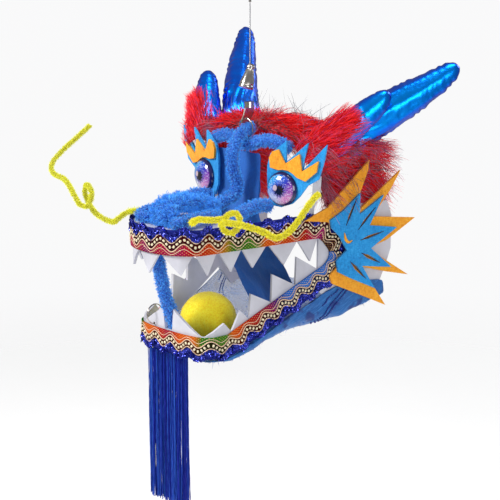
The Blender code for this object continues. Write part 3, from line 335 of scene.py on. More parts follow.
@dataclass(frozen=True)
class PlushGround(Finish):
    """The ground under plush loops, painted lighter on each loop and darker between them: a painted shade
    that follows the bump.
    """

    dark: Colour
    light: Colour
    scale: float = 700

    def paint(self, name: str) -> Paint:
        """Make the material."""
        paint = Paint(name, self.dark, 0.9, Sheen_Weight=0.3)
        loops = paint.cells(self.scale)
        # Lighter near each loop's middle, where the bump is highest, and darker between loops: painted
        # shade.
        paint.feed("Base Color", paint.ramp(loops + paint.noise(90) * 0.4 - 0.2, (0.15, self.light),
                                            (0.7, self.dark)))
        paint.bump(1 - loops, 0.0008, 1.0)
        return paint


@dataclass(frozen=True)
class Lame(Finish):
    """Metallic cloth, crumpled over its filling, with a painted highlight where it faces the viewer and
    painted shade towards its outline.
    """

    def paint(self, name: str) -> Paint:
        """Make the material."""
        paint = Paint(name, (0.0, 0.10, 0.70), 0.25, 0.92)
        # Colour by how squarely the cloth faces the viewer: bright cyan facing, dark navy towards the
        # outline, a painted highlight and painted shade, broken up by noise.
        facing = paint.node("ShaderNodeLayerWeight", {}, {"Blend": 0.35}, "Facing")
        place = facing + paint.noise(60, 3) * 0.30 - 0.15
        paint.feed("Base Color", paint.ramp(place, (0.00, (0.0, 0.30, 0.96)), (0.28, (0.0, 0.15, 0.88)),
                                            (0.58, (0.002, 0.045, 0.58)), (0.95, (0.004, 0.010, 0.20))))
        paint.feed("Roughness", 0.26 + 0.10 * paint.noise(200, 3))
        weave = paint.noise(2600, 1)
        paint.bump(paint.noise(110, 2) * 0.92 + weave * 0.08, 0.0008, 0.45)
        return paint


@dataclass(frozen=True)
class Weave(Finish):
    """A woven cloth; sheer where its threads are thin."""

    dark: Colour
    light: Colour
    pitch: float
    cover: float = 1.0
    far_cover: float = 1.0
    shine: float = 0.0
    # streaks: the weight of the light streaks and of the painted fold shade
    streaks: float = 0.0

    def paint(self, name: str) -> Paint:
        """Make the material."""
        paint = Paint(name, self.light, 0.75 - 0.35 * self.shine, Sheen_Weight=0.05)
        across, along, _ = paint.strip((math.tau / self.pitch, math.tau / self.pitch, 1)).parts()
        warp = across.math("SINE") * 0.5 + 0.5
        weft = along.math("SINE") * 0.5 + 0.5
        thread = warp.math("MAXIMUM", weft)
        cloud = paint.noise(55, 4)
        shade = thread * 0.55 + cloud * 0.45
        tone = paint.ramp(shade, (0.30, self.dark), (0.75, self.light))
        if self.streaks:
            lines = paint.noise(90, 4, paint.strip((1, 9, 1)), 0.7)
            tone = paint.mix(lines.above(0.56, 0.05) * self.streaks, tone, (0.05, 0.24, 0.62))
            # Dark navy patches: painted shade, as if in folds of the cloth.
            fold_shade = paint.noise(48, 3).above(0.60, 0.04)
            tone = paint.mix(fold_shade * self.streaks, tone, (0.004, 0.012, 0.17))
        paint.feed("Base Color", tone)
        paint.feed("Roughness", 0.55 + 0.3 * paint.noise(400) - 0.25 * self.shine)
        if self.cover < 1:
            side, _, _ = paint.place().parts()
            cover = side.above(0.015, 0.02) * (self.cover - self.far_cover) + self.far_cover
            paint.feed("Alpha", (thread.above(0.55, 0.3) * 0.25 + cover + cloud * 0.25 - 0.12)
                       .math("MINIMUM", 1.0))
        paint.bump(thread, 0.00018, 0.7)
        return paint


@dataclass(frozen=True)
class Braid(Finish):
    """The ground of the embroidered ribbon; its own map is in millimetres along and across.

    Attributes:
        fills: millimetres round from the middle of the front, and the colour of the embroidery there.
        period: the length of one wave of the cords.
        swing: how far the wave swings each way.
        outer: where the outer cord runs.
        inner: where the inner cord runs.
    """

    fills: tuple[tuple[float, Colour], ...]
    period: float = 20.0
    swing: float = 3.4
    outer: float = 2.7
    inner: float = -4.5

    def paint(self, name: str) -> Paint:
        """Make the material."""
        paint = Paint(name, (0.3, 0.02, 0.02), 0.7, Specular_IOR_Level=0.04)
        along, across, _ = paint.strip().parts()
        level = across - (along * (math.tau / self.period)).math("SINE") * self.swing
        stitch = (along * 5.2 + across * 2.2).math("SINE") * 0.5 + 0.5
        rows = (across * 7.0).math("SINE") * 0.5 + 0.5
        reach = 200.0
        place = along.math("ABSOLUTE") / reach + paint.noise(160) * 0.02 - 0.01
        stops = [(distance / reach, colour) for distance, colour in self.fills]
        fill = paint.ramp(place, *stops)
        shaded = paint.mix(stitch * 0.55, fill, paint.mix(0.75, fill, (0.02, 0, 0.01)))
        arcs = (along * 1.9).math("SINE") * (across * 2.4).math("SINE")
        shaded = paint.mix(arcs.above(0.72, 0.06) * 0.7, shaded, (0.90, 0.55, 0.16))
        dark = paint.mix(rows * 0.16, (0.016, 0.003, 0.002), fill)
        ground = paint.mix(level.above(self.inner, 0.15), shaded, dark)
        navy = paint.mix(stitch, (0.004, 0.006, 0.09), (0.02, 0.03, 0.30))
        tone = paint.mix(level.above(self.outer, 0.15), ground, navy)
        # A dark band along each cord: painted shade where the cord meets the ground.
        for edge in (self.outer, self.inner):
            near = 1 - (level - edge).math("ABSOLUTE").above(0.85, 0.15)
            tone = paint.mix(near * 0.8, tone, (0.015, 0.003, 0.006))
        paint.feed("Base Color", tone)
        paint.bump(stitch * 0.6 + rows * 0.4, 0.0003, 0.8)
        return paint


@dataclass(frozen=True)
class Gloss(Finish):
    """A tinted glossy bead, sequin or cord."""

    colour: Colour
    roughness: float = 0.25
    metallic: float = 0.0
    relief: float = 0.00005

    def paint(self, name: str) -> Paint:
        """Make the material."""
        paint = Paint(name, self.colour, self.roughness, self.metallic, Coat_Weight=0.3)
        speck = paint.noise(1500, 2)
        paint.mottle(speck, self.colour, 0.55, 0.3, 0.6)
        paint.bump(speck, self.relief, 0.8)
        return paint


@dataclass(frozen=True)
class Metal(Finish):
    """Polished or drawn metal with fine scratches."""

    colour: Colour = (0.72, 0.72, 0.74)
    roughness: float = 0.2
    lay: float = 0.0

    def paint(self, name: str) -> Paint:
        """Make the material."""
        paint = Paint(name, self.colour, self.roughness, 1.0)
        scratch = paint.noise(700, 4, paint.place((1, 1, 0.08)))
        paint.mottle(paint.noise(120), self.colour, 0.75, 0.35, 0.6)
        paint.feed("Roughness", self.roughness + 0.2 * scratch)
        if self.lay:
            x, _, z = paint.place((1, 1, math.tau / self.lay)).parts()
            paint.bump((z + x * 3000).math("SINE") * 0.5 + 0.5, 0.0002, 0.9)
        else:
            paint.bump(scratch, 0.00004, 0.5)
        return paint


@dataclass(frozen=True)
class Iris(Finish):
    """A printed stone eye; its own map runs from -1 to 1 across the stone."""

    def paint(self, name: str) -> Paint:
        """Make the material."""
        paint = Paint(name, (0.2, 0.3, 0.8), 0.08, Coat_Weight=0.6, Coat_Roughness=0.03)
        where = paint.strip()
        across, up, _ = where.parts()
        x, y = across - 0.04, up + 0.02
        reach = (x * x + y * y) ** 0.5
        rim = (across * across + up * up) ** 0.5
        angle = y.math("ARCTAN2", x)
        rays = (angle * 11 + paint.noise(5, 2, where) * 7).math("SINE") * 0.5 + 0.5
        fine = (angle * 37 + paint.noise(9, 2, where) * 9).math("SINE") * 0.5 + 0.5
        slope = paint.node("ShaderNodeMapRange", {}, {"Value": across * 0.8 - up * 0.6, "From Min": -0.85,
                                                     "From Max": 0.85})
        tone = paint.ramp(slope, (0.00, (0.01, 0.46, 0.78)), (0.30, (0.012, 0.14, 0.66)),
                          (0.58, (0.03, 0.03, 0.42)), (0.82, (0.30, 0.05, 0.42)), (1.0, (0.16, 0.02, 0.34)))
        low = (1 - up.above(-0.22, 0.35))
        tone = paint.mix(low * 0.75, tone, paint.mix(across.above(0.05, 0.4), (0.85, 0.90, 0.95),
                                                     (0.90, 0.35, 0.60)))
        flecks = paint.cells(15, where)
        tone = paint.mix((1 - flecks.above(0.30, 0.06)) * 0.9, tone, (0.92, 0.95, 1.0))
        specks = paint.cells(19, where)
        tone = paint.mix((1 - specks.above(0.24, 0.06)) * 0.85, tone, (0.01, 0.015, 0.22))
        tone = paint.mix(fine * 0.25, tone, (0.02, 0.02, 0.35))
        ring = rays * 0.12 + fine * 0.05 + 0.22
        inner = 1 - (reach - ring - 0.12).above(0.0, 0.10)
        tone = paint.mix(inner * 0.7, tone, (0.02, 0.02, 0.28))
        pupil = 1 - (reach - ring).above(0.0, 0.02)
        tone = paint.mix(pupil, tone, (0.003, 0.002, 0.008))
        spot = ((across + 0.24) * (across + 0.24) + (up - 0.10) * (up - 0.10) * 0.8) ** 0.5
        tone = paint.mix((1 - spot.above(0.15, 0.03)) * 0.9, tone, (0.62, 0.46, 0.52))
        paint.feed("Base Color", paint.mix(rim.above(0.86, 0.04), tone, (0.008, 0.008, 0.09)))
        paint.bump(flecks, 0.0001, 0.2)
        return paint


BOARD = FoamBoard("foam_board", "board")
FELT_BLUE = Felt("blue_felt", "felt_blue", (0.0, 0.19, 0.55), (0.005, 0.30, 0.74), (0.03, 0.41, 0.86))
FELT_ORANGE = Felt("orange_felt", "felt_orange", (0.74, 0.24, 0.005), (0.93, 0.37, 0.01), (1.0, 0.50, 0.04))
PLUSH_GROUND = PlushGround("plush_ground", "plush", (0.01, 0.07, 0.42), (0.04, 0.26, 0.88))
# Where a Fibre is given three numbers, the last is the strength of its painted glow.
PLUSH = Fibre("plush_pile", "plush", 0.75, 0.15, 0.26)
FUR_GROUND = PlushGround("fur_ground", "fur", (0.12, 0.0, 0.008), (0.50, 0.008, 0.02), 300)
FUR = Fibre("fur_hair", "fur", 0.50, 0.0, 0.14)
STRAY = Fibre("stray_hair", "fur", 0.50, 0.0, 0.0)
LAME = Lame("metallic_cloth", "lame")
THROAT = Weave("throat_weave", "cloth", (0.002, 0.035, 0.24), (0.008, 0.15, 0.56), 0.0011)
ORGANZA = Weave("organza", "organza", (0.002, 0.035, 0.24), (0.010, 0.16, 0.50), 0.0012,
                cover=0.90, far_cover=0.26, shine=0.6, streaks=0.75)
LOOSE_THREAD = Fibre("loose_thread", "organza", 0.5)
STITCH = Gloss("navy_stitch", "organza", (0.01, 0.02, 0.30), 0.2, 0.3)
FRINGE = Fibre("fringe_thread", "fringe", 0.42, 0.0, 0.10)
CHENILLE = Fibre("chenille_pile", "chenille", 0.8, 0.1, 0.22)
CHENILLE_GROUND = PlushGround("chenille_ground", "chenille", (0.62, 0.54, 0.0), (0.92, 0.84, 0.03), 1500)
CRIMSON, RED = (0.36, 0.002, 0.045), (0.50, 0.004, 0.004)
ORANGE, GREEN = (0.74, 0.10, 0.004), (0.006, 0.17, 0.012)
UPPER_BRAID = Braid("upper_ribbon_ground", "trim", (
    (0, (0.20, 0.008, 0.13)), (12, CRIMSON), (30, (0.40, 0.006, 0.10)), (41, RED),
    (54, (0.62, 0.03, 0.003)), (64, ORANGE), (74, (0.35, 0.24, 0.01)), (80, GREEN),
    (104, (0.05, 0.24, 0.02)), (113, ORANGE),
    (142, (0.62, 0.035, 0.003)), (154, RED), (166, (0.48, 0.004, 0.15)), (176, (0.40, 0.008, 0.18)),
    (183, (0.03, 0.003, 0.01))))
LOWER_BRAID = Braid("lower_ribbon_ground", "trim", (
    (0, CRIMSON), (9, RED), (17, ORANGE), (31, (0.70, 0.12, 0.005)), (38, GREEN), (62, (0.05, 0.24, 0.02)),
    (71, ORANGE), (83, (0.62, 0.035, 0.003)), (92, RED), (106, CRIMSON), (114, (0.25, 0.003, 0.10)),
    (122, (0.015, 0.015, 0.26)), (132, (0.02, 0.16, 0.62)), (146, (0.03, 0.20, 0.70))))
CREAM = Gloss("cream_cord", "trim", (0.95, 0.66, 0.44), 0.45)
BEAD = Gloss("gold_bead", "trim", (1.0, 0.88, 0.60), 0.30)
SEQUIN = Gloss("navy_sequin", "trim", (0.03, 0.045, 0.50), 0.14, 0.7)
EYE = Iris("eye_print", "eye")
STEEL = Metal("polished_steel", "steel", (0.55, 0.51, 0.47), 0.12)
WIRE = Metal("wire_rope", "steel", (0.45, 0.45, 0.47), 0.3, 0.0016)
MARK = Gloss("brown_pen", "felt_blue", (0.05, 0.015, 0.01), 0.8)
PEARL = Felt("pearl_felt", "pearl", (0.88, 0.60, 0.005), (0.98, 0.82, 0.02), (1.0, 0.94, 0.08))


# Shape tools


def head(x: float, y: float, z: float) -> Vector:
    """A point in head coordinates as a point of the frame."""
    return Vector((x, y, z - DROP))


def chance(seed: int) -> Random:
    """A seeded random source."""
    return np.random.default_rng(seed)


def smooth_run(points: Sequence[Sequence[float]], spacing: float) -> Rows:
    """Points on the Catmull-Rom curve through the given ones.

    Args:
        points: the points to pass through.
        spacing: about how far apart the new points lie.

    Returns:
        The points, one row each.
    """
    given = np.asarray(points, float)
    ends = np.vstack([2 * given[0] - given[1], given, 2 * given[-1] - given[-2]])
    run = []
    for a, b, c, d in zip(ends, ends[1:], ends[2:], ends[3:]):
        steps = max(1, round(float(np.linalg.norm(c - b)) / spacing))
        for share in np.arange(steps) / steps:
            run.append(0.5 * (2 * b + (c - a) * share + (2 * a - 5 * b + 4 * c - d) * share ** 2
                              + (3 * b - a - 3 * c + d) * share ** 3))
    run.append(given[-1])
    return np.array(run)


def unit(rows: Rows) -> Rows:
    """Rows scaled to length 1."""
    return rows / np.maximum(np.linalg.norm(rows, axis=-1, keepdims=True), 1e-12)


def directions(run: Rows) -> Rows:
    """The direction of travel at each point of a run."""
    return unit(np.gradient(run, axis=0))


class Bench:
    """Makes pieces and sets them on the head's one body."""

    @staticmethod
    def link(name: str, data: bpy.types.ID) -> Piece:
        """Put data in the scene as an object."""
        obj = bpy.data.objects.new(name, data)
        bpy.context.scene.collection.objects.link(obj)
        return obj

    @staticmethod
    def piece(name: str, mesh: bpy.types.Mesh, finish: Finish) -> Piece:
        """Put a mesh in the scene as a finished piece."""
        return Bench.finish(Bench.link(name, mesh), finish)

    @staticmethod
    def primitive(operator: Callable[..., object], **settings: object) -> Piece:
        """Add one primitive by its operator, selected alone."""
        bpy.ops.object.select_all(action="DESELECT")
        operator(**settings)
        return bpy.context.object

    @staticmethod
    def dress(names: Iterable[str], finish: Finish) -> None:
        """Give CAD nodes, with their meshes as they are, a finish."""
        for name in names:
            node = bpy.data.objects[name]
            node.data.materials.clear()
            node.data.materials.append(finish.material)

    @staticmethod
    def finish(obj: Piece, finish: Finish, smooth: bool = True) -> Piece:
        """Give an object its finish and its body."""
        obj.data.materials.clear()
        obj.data.materials.append(finish.material)
        if smooth and obj.type == "MESH":
            obj.data.shade_smooth()
        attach(obj, "root")
        return obj

    @staticmethod
    def mesh(name: str, points: Rows, faces: Union[Rows, list],
             tint: Optional[Rows] = None, own: Optional[Rows] = None) -> bpy.types.Mesh:
        """A mesh from rows of points and faces, with a tint and an own map where they are given."""
        mesh = bpy.data.meshes.new(name)
        corners = faces if isinstance(faces, list) else faces.tolist()
        mesh.from_pydata(points.reshape(-1, 3).tolist(), [], corners)
        if tint is not None:
            layer = mesh.color_attributes.new("tint", "FLOAT_COLOR", "POINT")
            layer.data.foreach_set("color", np.hstack([tint, np.ones((len(tint), 1))]).ravel())
        if own is not None:
            Bench.map(mesh, own)
        return mesh

    @staticmethod
    def map(mesh: bpy.types.Mesh, own: Rows) -> None:
        """Give a mesh its own map, one row for each of its points."""
        layer = mesh.uv_layers.new(name="own")
        corners = np.empty(len(mesh.loops), int)
        mesh.loops.foreach_get("vertex_index", corners)
        layer.data.foreach_set("uv", own[corners].ravel())

    @staticmethod
    def points(mesh: bpy.types.Mesh) -> Rows:
        """The points of a mesh, one row each."""
        rows = np.empty(len(mesh.vertices) * 3)
        mesh.vertices.foreach_get("co", rows)
        return rows.reshape(-1, 3)

    @staticmethod
    def reshape(obj: Piece, points: Rows) -> None:
        """Move a mesh's points to new places, one row each."""
        obj.data.vertices.foreach_set("co", points.ravel())
        obj.data.update()

    @staticmethod
    def select(obj: Piece) -> None:
        """Select one object alone and make it active."""
        bpy.ops.object.select_all(action="DESELECT")
        obj.select_set(True)
        bpy.context.view_layer.objects.active = obj

    @staticmethod
    def settle(obj: Piece) -> Piece:
        """Put an object's place, turn and size into its mesh."""
        Bench.select(obj)
        bpy.ops.object.transform_apply(location=True, rotation=True, scale=True)
        return obj

    @staticmethod
    def apply(obj: Piece, kind: str, **settings: object) -> None:
        """Add a modifier and apply it."""
        Bench.select(obj)
        modifier = obj.modifiers.new(kind.lower(), kind)
        for name, value in settings.items():
            setattr(modifier, name, value)
        bpy.ops.object.modifier_apply(modifier=modifier.name)

    @staticmethod
    def copy_node(node: str, name: str) -> Piece:
        """A welded copy of a CAD node, to be reworked as a new piece."""
        source = bpy.data.objects[node]
        mesh = source.data.copy()
        mesh.transform(source.matrix_world)
        form = bmesh.new()
        form.from_mesh(mesh)
        bmesh.ops.remove_doubles(form, verts=form.verts, dist=0.00002)
        form.to_mesh(mesh)
        form.free()
        mesh.name = name
        return Bench.link(name, mesh)

    @staticmethod
    def remade(node: str, name: str, voxel: float, inset: float = 0.0) -> Piece:
        """A copy of a CAD node with an even mesh, drawn in by an inset."""
        body = Bench.copy_node(node, name)
        Bench.apply(body, "REMESH", mode="VOXEL", voxel_size=voxel)
        if inset:
            Bench.apply(body, "DISPLACE", strength=-inset, mid_level=0.0)
        return body

    @staticmethod
    def area(obj: Piece) -> float:
        """The area of a piece's surface."""
        return sum(face.area for face in obj.data.polygons)

    @staticmethod
    def roughen(obj: Piece, size: float, depth: float) -> None:
        """Push a surface in and out by a cloudy texture of this grain and depth."""
        texture = bpy.data.textures.new("grain", "CLOUDS")
        texture.noise_scale = size
        Bench.apply(obj, "DISPLACE", texture=texture, strength=depth, mid_level=0.5, texture_coords="LOCAL")
        bpy.data.textures.remove(texture)


def tube(name: str, run: Rows, radius: Union[float, Rows], finish: Finish, sides: int = 6) -> Piece:
    """A round tube with closed ends along a run.

    Args:
        name: the piece's name.
        run: the points of its middle line.
        radius: its radius, or one for each point.
        finish: the finish.
        sides: how many sides it has.

    Returns:
        The piece.
    """
    count = len(run)
    travel = directions(run)
    first = unit(np.cross(travel, np.tile([0.21, 0.53, 0.82], (count, 1))))
    second = np.cross(travel, first)
    angle = np.arange(sides) * math.tau / sides
    radii = np.broadcast_to(radius, (count,))[:, None, None]
    rings = run[:, None, :] + radii * (np.cos(angle)[None, :, None] * first[:, None, :]
                                       + np.sin(angle)[None, :, None] * second[:, None, :])
    base = np.arange(count - 1)[:, None] * sides
    here = np.arange(sides)[None, :]
    after = (here + 1) % sides
    quads = np.stack([base + here, base + after, base + sides + after, base + sides + here], -1)
    faces = quads.reshape(-1, 4).tolist()
    faces.append(list(range(sides))[::-1])
    faces.append([(count - 1) * sides + index for index in range(sides)])
    return Bench.piece(name, Bench.mesh(name, rings, faces), finish)


def scatter(obj: Piece, count: int, rng: Random,
            keep: Optional[Callable[[Rows, Rows], Rows]] = None
            ) -> tuple[Rows, Rows]:
    """Spread points evenly over a surface.

    Args:
        obj: the surface, with its place in its mesh.
        count: how many points.
        rng: the random source.
        keep: tells from points and normals which to keep.

    Returns:
        The points and their outward normals.
    """
    mesh = obj.data
    mesh.calc_loop_triangles()
    corners = np.empty(len(mesh.loop_triangles) * 3, int)
    mesh.loop_triangles.foreach_get("vertices", corners)
    triangles = Bench.points(mesh)[corners.reshape(-1, 3)]
    across = np.cross(triangles[:, 1] - triangles[:, 0], triangles[:, 2] - triangles[:, 0])
    area = np.linalg.norm(across, axis=1)
    chosen = rng.choice(len(area), count, p=area / area.sum())
    a, b = rng.random((2, count, 1))
    flip = a + b > 1
    a, b = np.where(flip, 1 - a, a), np.where(flip, 1 - b, b)
    corner = triangles[chosen]
    points = corner[:, 0] + a * (corner[:, 1] - corner[:, 0]) + b * (corner[:, 2] - corner[:, 0])
    normals = unit(across[chosen])
    if keep is not None:
        kept = keep(points, normals)
        return points[kept], normals[kept]
    return points, normals


def fibres(name: str, lines: Rows, width: float, tint: Rows, finish: Finish, rng: Random) -> Piece:
    """Thin tapering blades along many lines.

    Args:
        name: the piece's name.
        lines: fibres by points by three.
        width: the blade's width at its root.
        tint: a colour for each fibre, or for each point of each fibre.
        finish: the finish.
        rng: the random source.

    Returns:
        The piece.
    """
    count, knots, _ = lines.shape
    travel = unit(np.gradient(lines, axis=1))
    face = unit(rng.normal(size=(count, 1, 3)))
    side = unit(np.cross(travel, np.broadcast_to(face, travel.shape)))
    taper = (1 - 0.75 * np.linspace(0, 1, knots) ** 1.5)[None, :, None] * width / 2
    points = np.stack([lines - side * taper, lines + side * taper], axis=2)
    start = (np.arange(count)[:, None] * knots + np.arange(knots - 1)[None, :]) * 2
    faces = np.stack([start, start + 1, start + 3, start + 2], -1).reshape(-1, 4)
    if tint.ndim == 2:
        tint = np.repeat(tint[:, None, :], knots, axis=1)
    tints = np.repeat(tint[:, :, None, :], 2, axis=2).reshape(-1, 3)
    return Bench.piece(name, Bench.mesh(name, points, faces, tints), finish)


def shades(rng: Random, count: int, *colours: Colour) -> Rows:
    """A colour for each fibre, between neighbours of a row of colours."""
    row = np.array(colours)
    place = rng.random(count) * (len(row) - 1)
    low = np.minimum(place.astype(int), len(row) - 2)
    share = (place - low)[:, None]
    return row[low] * (1 - share) + row[low + 1] * share


def steps(knots: int) -> Rows:
    """Shares from 0 to 1 along every fibre."""
    return np.linspace(0, 1, knots)[None, :, None]


def bent(roots: Rows, reach: Rows, lean: Rows, bend: Rows, knots: int) -> Rows:
    """Fibres that leave their roots one way and bend off another."""
    step = steps(knots)
    return roots[:, None] + reach * (lean[:, None] * step + bend[:, None] * step ** 2)


def reaches(rng: Random, count: int, least: float, spread: float) -> Rows:
    """A length for each fibre."""
    return least + spread * rng.random((count, 1, 1))


def gather(lines: Rows, tuft: int, pull: float) -> Rows:
    """Draw the tips of neighbouring fibres together, one tuft for every so many fibres."""
    leaders = lines[::tuft]
    tree = KDTree(len(leaders))
    for index, root in enumerate(leaders[:, 0].tolist()):
        tree.insert(root, index)
    tree.balance()
    chosen = np.array([tree.find(root)[1] for root in lines[:, 0].tolist()])
    share = np.linspace(0, 1, lines.shape[1])[None, :, None] ** 1.4 * pull
    return lines + (leaders[chosen] - lines) * share


@dataclass(frozen=True)
class Pile:
    """Short fibres that stand on a surface.

    Attributes:
        length: the fibre's length.
        width: the fibre's width.
        wander: how far directions stray from the surface's normal.
        curl: how far a tip bends over, as a share of the length.
        knots: points on each fibre.
        tuft: how many fibres share one tuft.
    """

    length: float
    width: float
    wander: float
    curl: float
    knots: int = 4
    tuft: int = 1

    def grow(self, name: str, surface: Piece, count: int, finish: Finish, seed: int,
             colours: Sequence[Colour]) -> Piece:
        """Cover a surface with fibres of these colours."""
        rng = chance(seed)
        roots, normals = scatter(surface, count, rng)
        lean = unit(normals + rng.normal(size=normals.shape) * self.wander)
        bend = unit(np.cross(lean, rng.normal(size=normals.shape))) * self.curl
        reach = self.length * reaches(rng, len(roots), 0.65, 0.5)
        lines = bent(roots, reach, lean, bend, self.knots)
        if self.tuft > 1:
            lines = gather(lines, self.tuft, 0.8)
        # Each fibre darkens towards its root: painted shade deep in the pile.
        tint = shades(rng, len(roots), *colours)[:, None, :] * (0.60 + 0.50 * steps(self.knots))
        return fibres(name, lines, self.width, tint, finish, rng)


def copies(name: str, template: Piece, frames: Rows, finish: Finish) -> Piece:
    """Set copies of one small modelled shape at many places.

    Args:
        name: the new piece's name.
        template: the shape, which is removed.
        frames: one 4 by 4 placing matrix for each copy.
        finish: the finish.

    Returns:
        The piece.
    """
    shape = Bench.points(template.data)
    count = len(frames)
    placed = np.einsum("nij,kj->nki", frames[:, :3, :3], shape) + frames[:, None, :3, 3]
    faces = [list(face.vertices) for face in template.data.polygons]
    every = [[corner + index * len(shape) for corner in face] for index in range(count) for face in faces]
    bpy.data.objects.remove(template)
    return Bench.piece(name, Bench.mesh(name, placed, every), finish)


# The plan of the jaws and the ribbon round the mouth


@dataclass(frozen=True)
class JawPlan:
    """A jaw's outline from above."""

    reach: float
    shoulder: float
    squareness: float
    snout_half: float = 0.043
    snout_y: float = -0.090
    cheek_half: float = 0.070
    cheek_y: float = 0.050

    @property
    def slope(self) -> Rows:
        """The direction of the left flat side, backwards."""
        return unit(np.array([self.cheek_half - self.snout_half, self.cheek_y - self.snout_y]))

    def side_x(self, y: Union[float, Rows]) -> Union[float, Rows]:
        """Half the width of the flat sides at this Y."""
        return self.snout_half + (y - self.snout_y) * self.slope[0] / self.slope[1]

    def outline(self, back: float, steps: int = 40) -> Rows:
        """The left half from the middle of the front to a Y on the flat side."""
        angle = np.linspace(0, math.pi / 2, steps)
        power = 2 / self.squareness
        x = self.side_x(-self.shoulder) * np.sin(angle) ** power
        y = -self.shoulder - (self.reach - self.shoulder) * np.cos(angle) ** power
        flat = np.linspace(-self.shoulder, back, 30)[1:]
        return np.vstack([np.stack([x, y], 1), np.stack([self.side_x(flat), flat], 1)])


UPPER_PLAN = JawPlan(0.120, 0.090, 2.0)
LOWER_PLAN = JawPlan(0.099, 0.080, 3.0)


class Ribbon:
    """A ribbon's run round one jaw, with places along, across and off it."""

    def __init__(self, middles: Rows, normals: Rows, widths: Rows, outward: int) -> None:
        """Lay the run.

        Args:
            middles: points down the middle of the ribbon, from the left corner to the right.
            normals: the outward direction at each.
            widths: the ribbon's width at each.
            outward: 1 where the edge away from the mouth is above, -1 where it is below.
        """
        self.middles = middles
        travel = np.gradient(middles, axis=0)
        travel[0, :2] = travel[-1, :2] = 0  # level ends at the mouth's corners
        self.normals = unit(normals)
        self.across = unit(np.cross(travel, self.normals)) * outward
        self.widths = widths
        steps = np.linalg.norm(np.diff(middles, axis=0), axis=1)
        length = np.concatenate([[0], np.cumsum(steps)])
        self.along = length - length[-1] / 2

    def pick(self, rows: Rows, along: Rows) -> Rows:
        """Rows of the run, read at distances along it."""
        return np.stack([np.interp(along, self.along, rows[:, k]) for k in range(3)], -1)

    def at(self, along: Rows, across: Rows, off: float) -> Rows:
        """Points of the frame from distances along, across as for a full-width ribbon, and off it."""
        scale = np.interp(along, self.along, self.widths) / RIBBON_WIDTH
        return (self.pick(self.middles, along) + self.pick(self.across, along) * (across * scale)[..., None]
                + unit(self.pick(self.normals, along)) * off)

    def frames(self, along: Rows, across: Rows, off: float, spin: Rows, tilt: Rows) -> Rows:
        """Placing matrices on the ribbon: first axis along it, third axis outwards.

        Args:
            along: distances along the ribbon.
            across: distances across it, as for a full-width ribbon.
            off: the distance off it.
            spin: turns about the outward axis.
            tilt: what is added to the outward direction.

        Returns:
            One 4 by 4 matrix for each place.
        """
        out = unit(unit(self.pick(self.normals, along)) + tilt)
        first = unit(self.pick(directions(self.middles), along))
        first = unit(first - out * (first * out).sum(1, keepdims=True))
        second = np.cross(out, first)
        cos, sin = np.cos(spin)[:, None], np.sin(spin)[:, None]
        result = np.zeros((len(along), 4, 4))
        result[:, :3, 0] = first * cos + second * sin
        result[:, :3, 1] = second * cos - first * sin
        result[:, :3, 2] = out
        result[:, :3, 3] = self.at(along, across, off)
        result[:, 3, 3] = 1
        return result


